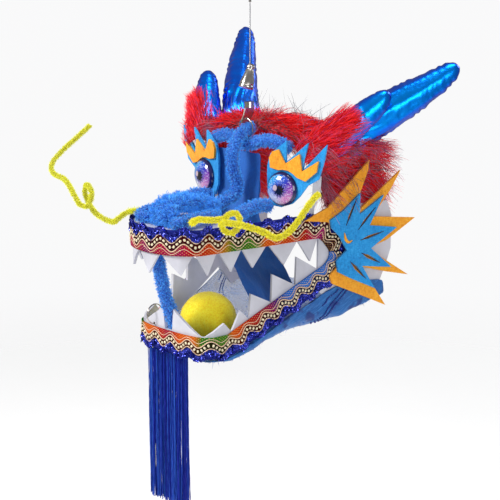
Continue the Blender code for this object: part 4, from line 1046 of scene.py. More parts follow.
@dataclass
class MouthTrim:
    """The embroidered ribbon: ground, wavy cords, square beads and sequins."""

    upper_rim: float = 0.018
    lower_rim: float = -0.054
    bend_y: float = -0.074
    jaw_slope: float = 0.477
    width: float = RIBBON_WIDTH
    lower_width: float = 0.020
    corner_reach: float = 0.0413
    ground: float = 0.0012
    cord: float = 0.00048
    fine_cord: float = 0.00026
    bead_pitch: float = 0.0036
    bead: tuple[float, float, float] = (0.0019, 0.0024, 0.0014)
    sequin_pitch: float = 0.0021
    sequin_rises: tuple[float, ...] = (1.4, 3.1, 4.8, 6.5)
    sequin_radius: float = 0.00165
    style: Braid = UPPER_BRAID

    def side_path(self) -> Rows:
        """The middle of the ribbon on the flat side as rows of (y, z), upper jaw first."""
        middle = self.upper_rim + self.width / 2
        lean = math.atan(self.jaw_slope)
        corner = ((-0.73, 1.00), (0.44, 1.00), (0.66, 0.90), (0.87, 0.61), (1.00, 0.24), (0.94, -0.21),
                  (0.74, -0.51))
        path = [(y * self.corner_reach, z * middle) for y, z in corner]
        drop = self.lower_width / 2 / math.cos(lean)
        path += [(y, self.lower_rim + (y - self.bend_y) * self.jaw_slope - drop)
                 for y in (0.44 * self.corner_reach, -0.05 * self.corner_reach, -0.73 * self.corner_reach)]
        path.append((self.bend_y + self.lower_width / 2 * math.tan(lean / 2),
                     self.lower_rim - self.lower_width / 2))
        return smooth_run(path, 0.003)

    def runs(self) -> tuple[Ribbon, Ribbon]:
        """The upper and the lower ribbon."""
        side = self.side_path()
        turn = int(side[:, 0].argmax())
        flat = np.array([UPPER_PLAN.slope[1], -UPPER_PLAN.slope[0], 0])

        def half(plan: JawPlan, part: Rows) -> tuple[Rows, Rows]:
            """Middles and normals of a left half, from the front to the end of its side part."""
            back_y, front_z = part[0]
            outline = plan.outline(back_y)
            tangent = unit(np.gradient(outline, axis=0))
            tangent[0] = (1, 0)
            front = np.column_stack([outline, np.full(len(outline), front_z - DROP)])
            normal = np.column_stack([tangent[:, 1], -tangent[:, 0], np.zeros(len(outline))])
            rest = np.column_stack([plan.side_x(part[:, 0]), part[:, 0], part[:, 1] - DROP])
            return np.vstack([front, rest[1:]]), np.vstack([normal, np.tile(flat, (len(rest) - 1, 1))])

        def whole(points: Rows, normals: Rows) -> tuple[Rows, Rows]:
            """Both halves from a left one."""
            flip = np.array([-1, 1, 1])
            return (np.vstack([points[::-1], points[1:] * flip]),
                    np.vstack([normals[::-1], normals[1:] * flip]))

        upper = whole(*half(UPPER_PLAN, side[:turn + 1]))
        lower = whole(*half(LOWER_PLAN, side[turn:][::-1]))
        return Ribbon(*upper, self.width_at(upper[0]), 1), Ribbon(*lower, self.width_at(lower[0]), -1)

    def width_at(self, rows: Rows) -> Rows:
        """The ribbon's width at each of its middles: less on the lower jaw."""
        share = np.clip((rows[:, 2] + DROP) / self.upper_rim, 0, 1)
        return self.lower_width + (self.width - self.lower_width) * share

    def wave(self, along: Rows) -> Rows:
        """The zigzag that the cords, beads and sequins follow."""
        return self.style.swing * MM * np.sin(along / MM * math.tau / self.style.period)

    def build_ground(self, name: str, ribbon: Ribbon, braid: Braid) -> Piece:
        """The ribbon's ground, its outer edge scalloped."""
        along = np.arange(ribbon.along[0], ribbon.along[-1], 0.0015)
        along = np.append(along, ribbon.along[-1])
        share = np.linspace(0, 1, 14)
        edge = self.width / 2
        top = np.clip(self.style.outer * MM + self.wave(along) + 0.0070, edge - 0.0012, edge + 0.0006)
        across = -self.width / 2 + share[None, :] * (top + self.width / 2)[:, None]
        grid_along = np.repeat(along[:, None], len(share), 1)
        points = ribbon.at(grid_along.ravel(), across.ravel(), GAP + 0.0004)
        rows, columns = across.shape
        start = (np.arange(rows - 1)[:, None] * columns + np.arange(columns - 1)[None, :])
        faces = np.stack([start, start + 1, start + columns + 1, start + columns], -1).reshape(-1, 4)
        own = np.stack([grid_along.ravel() / MM, across.ravel() / MM], 1)
        piece = Bench.piece(name, Bench.mesh(name, points, faces, own=own), braid)
        middle = piece.data.polygons[len(piece.data.polygons) // 2]
        if middle.normal.dot(Vector((middle.center.x, middle.center.y, 0))) < 0:
            piece.data.flip_normals()
        Bench.apply(piece, "SOLIDIFY", thickness=self.ground, offset=1.0)
        return piece

    def build_cords(self, name: str, ribbon: Ribbon) -> None:
        """The two wavy cream cords, and a finer one that loops along the mouth's edge."""
        along = np.arange(ribbon.along[0] + 0.001, ribbon.along[-1] - 0.001, 0.0009)
        for label, level, swing, radius in (("outer", self.style.outer, 1, self.cord),
                                            ("inner", self.style.inner, 1, self.cord),
                                            ("edge", self.style.inner - 3.4, 0.70, self.fine_cord)):
            run = ribbon.at(along, self.wave(along) * swing + level * MM, self.ground + GAP + 0.0006)
            tube(f"{name}_{label}_cord", run, radius, CREAM)

    def build_beads(self, name: str, ribbon: Ribbon, seed: int) -> None:
        """A row of square beads between the cords."""
        rng = chance(seed)
        along = np.arange(ribbon.along[0] + 0.002, ribbon.along[-1] - 0.002, 0.0005)
        path = np.stack([along, self.wave(along)], 1)
        length = np.concatenate([[0], np.cumsum(np.linalg.norm(np.diff(path, axis=0), axis=1))])
        along = np.interp(np.arange(0, length[-1], self.bead_pitch), length, along)
        along = along + rng.normal(0, 0.00012, len(along))
        across = self.wave(along) + (self.style.outer + self.style.inner) / 2 * MM
        turns = math.tau / self.style.period
        slope = self.style.swing * turns * np.cos(along / MM * turns)
        spin = np.arctan(slope) + rng.normal(0, 0.12, len(along))
        bead = Bench.primitive(bpy.ops.mesh.primitive_cube_add, size=1)
        bead.scale = self.bead
        Bench.settle(bead)
        Bench.apply(bead, "BEVEL", width=0.00045, segments=1)
        tilt = rng.normal(0, 0.15, (len(along), 3))
        frames = ribbon.frames(along, across, self.ground + GAP + 0.0006, spin, tilt)
        copies(name + "_beads", bead, frames, BEAD)

    def build_sequins(self, name: str, ribbon: Ribbon, seed: int) -> None:
        """Overlapping sequins between the outer cord and the scalloped edge."""
        rng = chance(seed)
        spots = []
        for rise in self.sequin_rises:
            along = np.arange(ribbon.along[0] + 0.001, ribbon.along[-1] - 0.001, self.sequin_pitch)
            along = along + rng.normal(0, 0.0004, len(along))
            spots.append(np.stack([along, self.wave(along) + (self.style.outer + rise) * MM]))
        along, across = np.hstack(spots)
        across = np.minimum(across + rng.normal(0, 0.0003, len(along)), self.width / 2 + 0.0004)
        sequin = Bench.primitive(bpy.ops.mesh.primitive_circle_add, vertices=8, radius=self.sequin_radius,
                                 fill_type="NGON")
        bpy.ops.object.mode_set(mode="EDIT")
        bpy.ops.mesh.select_all(action="SELECT")
        bpy.ops.mesh.inset(thickness=0.0008, depth=-0.0004)
        bpy.ops.object.mode_set(mode="OBJECT")
        tilt = rng.normal(0, 0.33, (len(along), 3))
        frames = ribbon.frames(along, across, self.ground + GAP + 0.0010, rng.random(len(along)) * 6, tilt)
        copies(name + "_sequins", sequin, frames, SEQUIN)

    def build(self) -> None:
        """Make both ribbons."""
        jaws = zip(("upper", "lower"), self.runs(), (UPPER_BRAID, LOWER_BRAID))
        for index, (name, ribbon, braid) in enumerate(jaws):
            ground = self.build_ground(name + "_ribbon", ribbon, braid)
            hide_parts(name + "_trim")
            self.build_cords(name, ribbon)
            self.build_beads(name, ribbon, 11 + index)
            self.build_sequins(name, ribbon, 21 + index)


@dataclass
class PlushStems:
    """Plush-wrapped wires and the thick curly roll of the snout."""

    stems: tuple[str, ...] = ("nose_bridge", "brow_tube", "cheek_tube_left", "cheek_tube_right",
                              "nostril_left", "nostril_right", "front_strut")
    density: float = 1.5e6
    pile: Pile = Pile(0.0024, 0.00036, 0.5, 0.5, 3, 5)
    curls: Pile = Pile(0.0034, 0.00040, 0.6, 1.2, 5, 8)
    colours: tuple[Colour, ...] = ((0.015, 0.17, 0.72), (0.05, 0.34, 0.95), (0.14, 0.52, 1.0),
                                   (0.03, 0.27, 0.90))

    def core(self, node: str, voxel: float, grain: float, depth: float) -> Piece:
        """The soft body of a stem, in place of its plain solid."""
        body = Bench.remade(node, node + "_core", voxel)
        Bench.roughen(body, grain, depth)
        Bench.finish(body, PLUSH_GROUND)
        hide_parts(node)
        return body

    def build(self) -> None:
        """Make the stems and their pile."""
        for seed, node in enumerate(self.stems):
            body = self.core(node, 0.0014, 0.004, 0.0010)
            count = int(Bench.area(body) * self.density)
            self.pile.grow(node + "_pile", body, count, PLUSH, 100 + seed, self.colours)
        roll = self.core("snout", 0.0016, 0.0085, 0.0075)
        count = int(Bench.area(roll) * self.density * 1.3)
        self.curls.grow("snout_curls", roll, count, PLUSH, 130, self.colours)


@dataclass
class Whiskers:
    """Chenille stems: a thin twisted core with stiff short bristles."""

    inset: float = 0.0018
    bristles: int = 10500
    tuft: int = 420
    pile: Pile = Pile(0.0018, 0.00042, 0.45, 0.15, 3)

    def build(self) -> None:
        """Make both stems."""
        shade = {Side.LEFT: ((0.92, 0.80, 0.0), (0.98, 0.92, 0.02), (1.0, 0.98, 0.18)),
                 Side.RIGHT: ((0.78, 0.78, 0.01), (0.90, 0.90, 0.05), (0.97, 0.98, 0.20))}
        for side in Side:
            name = "whisker_" + side.word
            body = Bench.remade(name, name + "_stem", 0.0010, self.inset)
            Bench.finish(body, CHENILLE_GROUND)
            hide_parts(name)
            self.pile.grow(name + "_bristles", body, self.bristles, CHENILLE, 150 + side.value, shade[side])
            self.build_tuft(side, body, shade[side])

    def build_tuft(self, side: Side, body: Piece, colours: Sequence[Colour]) -> None:
        """The burst of bristles at the cut inner end."""
        rng = chance(170 + side.value)
        points = Bench.points(body.data)
        inner = points[np.abs(points[:, 0]).argmin()]
        near = points[np.linalg.norm(points - inner, axis=1) < 0.009]
        roots = near[rng.integers(0, len(near), self.tuft)]
        lean = unit(rng.normal(size=roots.shape) + unit(roots - near.mean(0)) * 0.8)
        lines = roots[:, None] + 0.0034 * reaches(rng, len(roots), 0.5, 0.6) * lean[:, None] * steps(4)
        tint = shades(rng, len(roots), *colours)
        fibres(f"whisker_{side.word}_tuft", lines, 0.00036, tint, CHENILLE, rng)


@dataclass
class FurBand:
    """Long red fur, combed away from the crown, with dark tips and stray dark hairs.

    Attributes:
        strands: how many fibres the coat has.
        wisps: how many fly out behind the eyes.
        strip: how many run up the front of each prong.
        strays: how many stand clear of the rest.
        length: the coat's length.
        width: the width of its fibres.
        fine: the width of wisps and strays.
        knots: points on each fibre.
    """

    strands: int = 15000
    wisps: int = 1700
    strip: int = 2000
    strays: int = 1000
    length: float = 0.026
    width: float = 0.00050
    fine: float = 0.00042
    knots: int = 6

    def comb(self, points: Rows, normals: Rows, rng: Random) -> Rows:
        """The way the fur lies at each root."""
        side = np.tanh(points[:, 0] / 0.012)
        high = np.clip((points[:, 2] + DROP - 0.06) / 0.05, 0, 1)
        lay = np.stack([side * (0.15 + 0.85 * high), 0.75 - 0.25 * high, -0.55 + 0.40 * high], 1)
        lift = np.full((len(points), 1), 0.40)
        for horn in HORNS:
            foot, tip = np.array(horn.foot), np.array(horn.tip)
            away = np.linalg.norm(points - foot, axis=1, keepdims=True)
            near = np.exp(-(away / (horn.radius * 1.5)) ** 2)
            lay = lay * (1 - near) + unit(tip - foot) * near * 1.3
        fins = ((np.abs(points[:, 0]) > 0.062) & (high < 0.45))[:, None]
        lift = np.where(fins, 0.05, lift)
        lay = unit(lay + rng.normal(size=points.shape) * 0.15)
        return unit(lay - normals * (lay * normals).sum(1, keepdims=True) * 0.8 + normals * lift)

    def build(self) -> None:
        """Make the fur."""
        rng = chance(7)
        ground = Bench.remade("fur_band", "fur_ground", 0.0025, 0.0015)
        Bench.roughen(ground, 0.006, 0.003)
        Bench.finish(ground, FUR_GROUND)
        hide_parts("fur_band")
        roots, normals = scatter(ground, self.strands, rng)
        lie = self.comb(roots, normals, rng)
        step = steps(self.knots)
        reach = self.length * (0.55 + 0.6 * rng.random(len(roots)))
        for horn in HORNS[:2]:
            away = np.linalg.norm(roots - np.array(horn.foot), axis=1)
            reach *= 1 - 0.7 * np.exp(-(away / (horn.radius * 1.9)) ** 2)
        sag = np.array([0, 0.25, -0.55])
        wave = unit(rng.normal(size=roots.shape)) * 0.10
        lines = roots[:, None] + reach[:, None, None] * (
            lie[:, None] * step + (sag * step ** 2) * 0.45
            + wave[:, None] * np.sin(step * 5 + rng.random((len(roots), 1, 1)) * 6))
        root_tint = shades(rng, len(roots), (0.60, 0.002, 0.008), (0.90, 0.006, 0.012), (1.0, 0.03, 0.03))
        edge = np.clip((np.abs(roots[:, 0]) - 0.045) / 0.04, 0, 1)[:, None]
        purple = shades(rng, len(roots), (0.30, 0.02, 0.16), (0.62, 0.10, 0.30), (0.80, 0.25, 0.35))
        mixed = np.where(rng.random((len(roots), 1)) < 0.05 + 0.20 * edge, purple, root_tint)
        dark = shades(rng, len(roots), (0.16, 0.15, 0.19), (0.45, 0.36, 0.40), (0.06, 0.07, 0.11))
        tipped = (rng.random((len(roots), 1)) < 0.08 + 0.34 * edge) * 1.0
        blend = tipped[:, None] * np.clip((step - 0.55) / 0.35, 0, 1)
        # Strands darken towards the root: painted shade deep in the fur. Some end in dark grey tips of
        # their own.
        tint = mixed[:, None] * (0.60 + 0.5 * step) * (1 - blend) + dark[:, None] * blend
        lines = gather(lines, 6, 0.35)
        fibres("fur_strands", lines, self.width, tint, FUR, rng)
        self.build_strays(ground, rng)
        self.build_wisps(ground, rng)
        for horn in HORNS[2:]:
            self.build_strip(horn, rng)

    def build_wisps(self, ground: Piece, rng: Random) -> None:
        """Thin wisps that fly outwards from the front edges, behind the eyes."""
        roots, _ = scatter(ground, 26000, rng,
                           lambda points, normals: (np.abs(points[:, 0]) > 0.048) & (normals[:, 1] < -0.35))
        roots = roots[:self.wisps]
        way = np.tile([1.0, -0.35, -0.05], (len(roots), 1))
        way[:, 0] = np.sign(roots[:, 0])
        lie = unit(way + rng.normal(size=roots.shape) * 0.32)
        step = steps(self.knots)
        reach = reaches(rng, len(roots), 0.012, 0.014)
        lines = bent(roots, reach, lie, np.array([[0, 0, -0.3]]), self.knots)
        root = shades(rng, len(roots), (0.55, 0.004, 0.02), (0.60, 0.05, 0.16), (0.35, 0.03, 0.12))
        tip = shades(rng, len(roots), (0.10, 0.10, 0.13), (0.34, 0.26, 0.30), (0.62, 0.20, 0.30))
        tint = root[:, None] * (1 - step) + tip[:, None] * step
        fibres("fur_wisps", gather(lines, 5, 0.55), self.fine, tint, FUR, rng)

    def build_strip(self, prong: "Horn", rng: Random) -> None:
        """The strip of fur that runs up the front of a prong."""
        foot, tip = np.array(prong.foot), np.array(prong.tip)
        axis = unit(tip - foot)
        front = np.array([0.0, -1, -0.1])
        front = unit(front - axis * (front @ axis))
        side = np.cross(axis, front)
        count = self.strip
        along = rng.random(count) ** 1.2 * 0.85 - 0.40
        angle = rng.normal(0, 0.50, count) * (1.1 - 0.9 * np.clip(along, 0, 1))
        around = front * np.cos(angle)[:, None] + side * np.sin(angle)[:, None]
        girth = (prong.radius + prong.swell) * np.interp(along, (-0.3, 0.3, 0.75), (1.25, 1.10, 0.75))
        roots = foot + np.outer(along * np.linalg.norm(tip - foot), axis) + around * girth[:, None]
        lie = unit(axis + around * 0.22 + rng.normal(size=roots.shape) * 0.15)
        reach = reaches(rng, count, 0.011, 0.009)
        lines = bent(roots, reach, lie, np.array([[0, 0, -0.25]]), self.knots)
        # Darker towards the root: painted shade deep in the fur.
        tint = shades(rng, count, (0.60, 0.002, 0.008), (0.92, 0.008, 0.012), (1.0, 0.04, 0.03),
                      (0.70, 0.05, 0.22))[:, None] * (0.6 + 0.5 * steps(self.knots))
        fibres("fur_strip_" + prong.node, gather(lines, 7, 0.4), self.width, tint, FUR, rng)

    def build_strays(self, ground: Piece, rng: Random) -> None:
        """A few stiff dark hairs that stand clear of the rest."""
        roots, normals = scatter(
            ground, self.strays, rng,
            lambda points, normals: (normals[:, 2] > 0.1) | (np.abs(normals[:, 0]) > 0.6))
        lean = unit(normals + rng.normal(size=normals.shape) * 0.45)
        bend = unit(rng.normal(size=normals.shape)) * 0.25
        lines = bent(roots, reaches(rng, len(roots), 0.012, 0.015), lean, bend, self.knots)
        tint = shades(rng, len(roots), (0.02, 0.03, 0.06), (0.07, 0.09, 0.14), (0.28, 0.29, 0.34))
        fibres("fur_strays", lines, self.fine, tint, STRAY, rng)


@dataclass
class Horn:
    """A stuffed horn of metallic cloth: filled by pressure, then gathered, seamed and wrinkled.

    Attributes:
        node: the CAD node that it stands for.
        foot: the middle of its gathered foot.
        tip: its point.
        radius: its greatest radius.
        seed: for its wrinkles.
        swell: how far its filling pushes the cloth out.
        frames: how long the filling under pressure runs.
        cap: the most that the pressure moves the cloth.
        full_tip: how much fuller the cloth is near its tip.
        full_foot: how much fuller it is near its foot.
        crease: the depth of the loose creases.
        pleat: the depth of the gathers at the foot.
        seam: how far the seams are drawn in.
        pucker: the height of the puckers along the seams.
    """

    node: str
    foot: Vector
    tip: Vector
    radius: float
    seed: int
    swell: float
    frames: int = 20
    cap: float = 0.0026
    full_tip: float = 0.0016
    full_foot: float = 0.0042
    crease: float = 0.00018
    pleat: float = 0.0012
    seam: float = 0.0013
    pucker: float = 0.00055

    def inflate(self, body: Piece) -> None:
        """Fill the cloth by pressure, as far as a small cap."""
        before = Bench.points(body.data)
        Bench.select(body)
        cloth = body.modifiers.new("fill", "CLOTH")
        cloth.settings.use_pressure = True
        cloth.settings.uniform_pressure_force = 4
        cloth.settings.effector_weights.gravity = 0
        cloth.point_cache.frame_start = 1
        cloth.point_cache.frame_end = self.frames
        scene = bpy.context.scene
        for number in range(1, self.frames + 1):
            scene.frame_set(number)
        graph = bpy.context.evaluated_depsgraph_get()
        after = Bench.points(body.evaluated_get(graph).data)
        body.modifiers.remove(cloth)
        scene.frame_set(1)
        move = after - before
        size = np.linalg.norm(move, axis=1, keepdims=True)
        Bench.reshape(body, before + move * np.minimum(1, self.cap / np.maximum(size, 1e-9)))

    def wrinkle(self, body: Piece) -> None:
        """Gather the foot, draw in the seam and crease the cloth."""
        rng = chance(self.seed)
        points = Bench.points(body.data)
        normals = np.empty(len(points) * 3)
        body.data.vertices.foreach_get("normal", normals)
        normals = normals.reshape(-1, 3)
        foot, tip = np.array(self.foot), np.array(self.tip)
        axis = unit(tip - foot)
        length = np.linalg.norm(tip - foot)
        along = ((points - foot) @ axis) / length
        out = points - foot - np.outer(along * length, axis)
        first = unit(np.cross(axis, [0.3, -0.8, 0.5]))
        second = np.cross(axis, first)
        angle = np.arctan2(out @ second, out @ first)
        scale = self.radius / HORN_RADIUS
        height = self.full_tip * scale * np.exp(-((1 - along) / 0.30) ** 2) + self.swell
        height += self.full_foot * scale * np.exp(-(np.clip(along, 0, None) / 0.13) ** 2)
        for _ in range(7):
            turns, pitch = rng.integers(1, 4), rng.uniform(12, 34)
            phase, drift = rng.uniform(0, 6.3, 2)
            ridge = np.sin(angle * turns + pitch * along + phase)
            height += self.crease * np.abs(ridge) ** 0.5 * np.sin(along * 9 + drift) * scale
        pleats = np.exp(-np.clip(along, 0, None) / 0.20)
        height += self.pleat * scale * pleats * np.sin(angle * 15 + 2.5 * np.sin(along * 14))
        for seam in (0.6, 3.7):
            distance = np.abs((angle - seam + math.pi) % math.tau - math.pi)
            near = np.exp(-(distance / 0.10) ** 2)
            height -= self.seam * scale * near
            beside = np.exp(-(distance / 0.55) ** 2) * (1 - near)
            stitches = np.sin(along * length / 0.0018 + 3 * np.sin(along * 21))
            height += self.pucker * scale * beside * stitches
        Bench.reshape(body, points + normals * height[:, None])

    def build(self) -> None:
        """Make the horn."""
        body = Bench.remade(self.node, self.node + "_cloth", 0.0023, 0.0006)
        self.inflate(body)
        Bench.apply(body, "SUBSURF", levels=1, render_levels=1)
        self.wrinkle(body)
        Bench.finish(body, LAME)
        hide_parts(self.node)


HORNS = (
    Horn("horn_left", head(0.060, 0.052, 0.100), head(0.130, 0.123, 0.164), HORN_RADIUS, 31, 0.0018),
    Horn("horn_right", head(-0.062, 0.053, 0.102), head(-0.130, 0.124, 0.184), HORN_RADIUS, 32, 0.0010),
    Horn("prong_left", head(0.072, 0.026, 0.101), head(0.108, 0.056, 0.144), PRONG_RADIUS, 33, 0.0028),
    Horn("prong_right", head(-0.080, 0.025, 0.101), head(-0.110, 0.053, 0.146), PRONG_RADIUS, 34, 0.0030),
)


@dataclass
class Eyes:
    """Domed printed stones on felt flames."""

    radius: float = 0.015
    dome: float = 0.007
    x: float = 0.049
    y: float = -0.005
    z: float = 0.0628
    slide: float = -0.003
    sweep: float = math.radians(11)
    felt: float = 0.002

    def build(self) -> None:
        """Make both stones."""
        for side in Side:
            out = self.felt / 2 + GAP
            turned = math.sin(self.sweep), math.cos(self.sweep)
            centre = head(side.value * (self.x + turned[0] * out) + turned[1] * self.slide,
                          self.y - turned[1] * out + turned[0] * self.slide * side.value, self.z)
            stone = Bench.settle(Bench.primitive(bpy.ops.mesh.primitive_uv_sphere_add, segments=64,
                                                 ring_count=32, radius=self.radius,
                                                 rotation=(math.pi / 2, 0, 0)))
            bpy.ops.object.mode_set(mode="EDIT")
            bpy.ops.mesh.select_all(action="SELECT")
            bpy.ops.mesh.bisect(plane_co=(0, 0, 0), plane_no=(0, 1, 0), clear_outer=True, use_fill=True)
            bpy.ops.object.mode_set(mode="OBJECT")
            stone.name = f"eye_stone_{side.word}"
            points = Bench.points(stone.data)
            for layer in list(stone.data.uv_layers):
                stone.data.uv_layers.remove(layer)
            Bench.map(stone.data, points[:, [0, 2]] / self.radius)
            stone.data.transform(Matrix.Translation(centre)
                                 @ Matrix.Rotation(side.value * self.sweep, 4, "Z")
                                 @ Matrix.Diagonal((1, self.dome / self.radius, 1, 1)))
            Bench.finish(stone, EYE)
            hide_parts("eye_" + side.word)


@dataclass
class Felts:
    """Flames and fins of felt, with fuzz on the cut edges and pen lines round the slits."""

    fuzz: Pile = Pile(0.0008, 0.00012, 1.6, 0.6, 3)
    density: float = 0.45e6
    blue: tuple[Colour, ...] = ((0.0, 0.22, 0.62), (0.05, 0.42, 0.85))
    orange: tuple[Colour, ...] = ((0.85, 0.33, 0.02), (1.0, 0.58, 0.12))
    fin_start: float = 0.003
    fin_length: float = 0.122
    fin_foot: float = -0.053
    fin_height: float = 0.136
    front: float = 0.0070
    slits: tuple[tuple[float, ...], ...] = (
        (0.345, 0.590, 0.438, 0.760, 0.0029), (0.455, 0.550, 0.610, 0.685, 0.0027),
        (0.478, 0.478, 0.690, 0.514, 0.0029), (0.490, 0.390, 0.660, 0.306, 0.0032),
        (0.388, 0.345, 0.534, 0.212, 0.0034))
    crescent: tuple[tuple[float, float], ...] = (
        (0.330, 0.545), (0.342, 0.500), (0.368, 0.478), (0.402, 0.486))

    def build(self) -> None:
        """Dress the felt pieces."""
        for side in Side:
            for start, finish, colours in (("eye_felt_", FELT_BLUE, self.blue),
                                           ("eye_flame_", FELT_ORANGE, self.orange),
                                           ("fin_back_", FELT_ORANGE, self.orange),
                                           ("fin_front_", FELT_BLUE, self.blue)):
                node = start + side.word
                Bench.dress([node], finish)
                surface = Bench.copy_node(node, "felt_surface")
                hair = Fibre(finish.name + "_hair", finish.slot, 0.9)
                count = int(Bench.area(surface) * self.density)
                self.fuzz.grow(node + "_fuzz", surface, count, hair, 60, colours)
                bpy.data.objects.remove(surface)
            self.build_lines(side)

    def on_fin(self, side: Side, back: float, up: float) -> Rows:
        """A point on the front of a fin from its shares back and up."""
        y = self.fin_start + back * self.fin_length
        normal = np.array([UPPER_PLAN.slope[1], -UPPER_PLAN.slope[0]])
        flat = np.array([UPPER_PLAN.side_x(0), 0]) + UPPER_PLAN.slope * y / UPPER_PLAN.slope[1]
        x, y = flat + normal * self.front
        return np.array([side.value * x, y, self.fin_foot + up * self.fin_height - DROP])

    def build_lines(self, side: Side) -> None:
        """Pen lines round the slits of a fin, and its small orange crescent."""
        for number, (back_a, up_a, back_b, up_b, width) in enumerate(self.slits):
            start, end = np.array([back_a, up_a]), np.array([back_b, up_b])
            run = (end - start) * (self.fin_length, self.fin_height)
            out = np.array([-run[1], run[0]]) / np.linalg.norm(run) * width / 2
            out = out * (1, self.fin_length / self.fin_height)
            ring = [start, start + (end - start) * 0.35 + out, start + (end - start) * 0.7 + out * 0.7, end,
                    start + (end - start) * 0.7 - out * 0.7, start + (end - start) * 0.35 - out, start]
            line = np.array([self.on_fin(side, *point) for point in ring])
            tube(f"slit_line_{side.word}_{number}", np.repeat(line, 2, 0)[1:-1], 0.00028, MARK, 5)
        curve = smooth_run([self.on_fin(side, *point) for point in self.crescent], 0.001)
        share = np.linspace(0, math.pi, len(curve))
        tube("crescent_" + side.word, curve, 0.0003 + 0.0011 * np.sin(share), FELT_ORANGE, 8)
        tube("crescent_line_" + side.word, curve - (0, 0, 0.0010), 0.0003, MARK, 5)


@dataclass
class Fringe:
    """A curtain of twisted threads."""

    threads: int = 240
    knots: int = 16
    radius: float = 0.00042
    corners: int = 4

    def build(self) -> None:
        """Make the threads."""
        rng = chance(5)
        low, high = (np.array(corner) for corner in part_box("fringe"))
        step = np.linspace(0, 1, self.knots)
        points, faces, tints = [], [], []
        row = shades(rng, self.threads, (0.006, 0.010, 0.20), (0.012, 0.025, 0.38), (0.03, 0.12, 0.60),
                     (0.008, 0.016, 0.28))
        for index in range(self.threads):
            x = low[0] + (index + 0.5) / self.threads * (high[0] - low[0]) + rng.normal(0, 0.0005)
            y = rng.uniform(low[1] + 0.0012, high[1] - 0.0012)
            foot = low[2] + abs(rng.normal(0, 0.0016))
            sway = rng.normal(0, 0.0011, 2)
            phase = rng.uniform(0, 6.3, 2)
            z = high[2] + (foot - high[2]) * step ** rng.uniform(0.8, 1.25)
            wander_x = x + sway[0] * step ** 1.5 + 0.0004 * np.sin(step * 9 + phase[0]) * step
            wander_y = y + sway[1] * step + 0.0004 * np.sin(step * 7 + phase[1]) * step
            base = index * self.corners * self.knots
            for corner in range(self.corners):
                angle = corner * math.tau / self.corners + step * 14 + phase[0]
                points.append(np.stack([wander_x + self.radius * np.cos(angle),
                                        wander_y + self.radius * np.sin(angle), z], 1))
                tints.append(np.tile(row[index], (self.knots, 1)))
                here = base + corner * self.knots
                after = base + (corner + 1) % self.corners * self.knots
                for knot in range(self.knots - 1):
                    faces.append((here + knot, here + knot + 1, after + knot + 1, after + knot))
            for knot in (0, self.knots - 1):
                cap = [base + corner * self.knots + knot for corner in range(self.corners)]
                faces.append(tuple(cap if knot else reversed(cap)))
        mesh = Bench.mesh("fringe_threads", np.vstack(points), faces, np.vstack(tints))
        curtain = Bench.piece("fringe_threads", mesh, FRINGE)
        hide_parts("fringe")


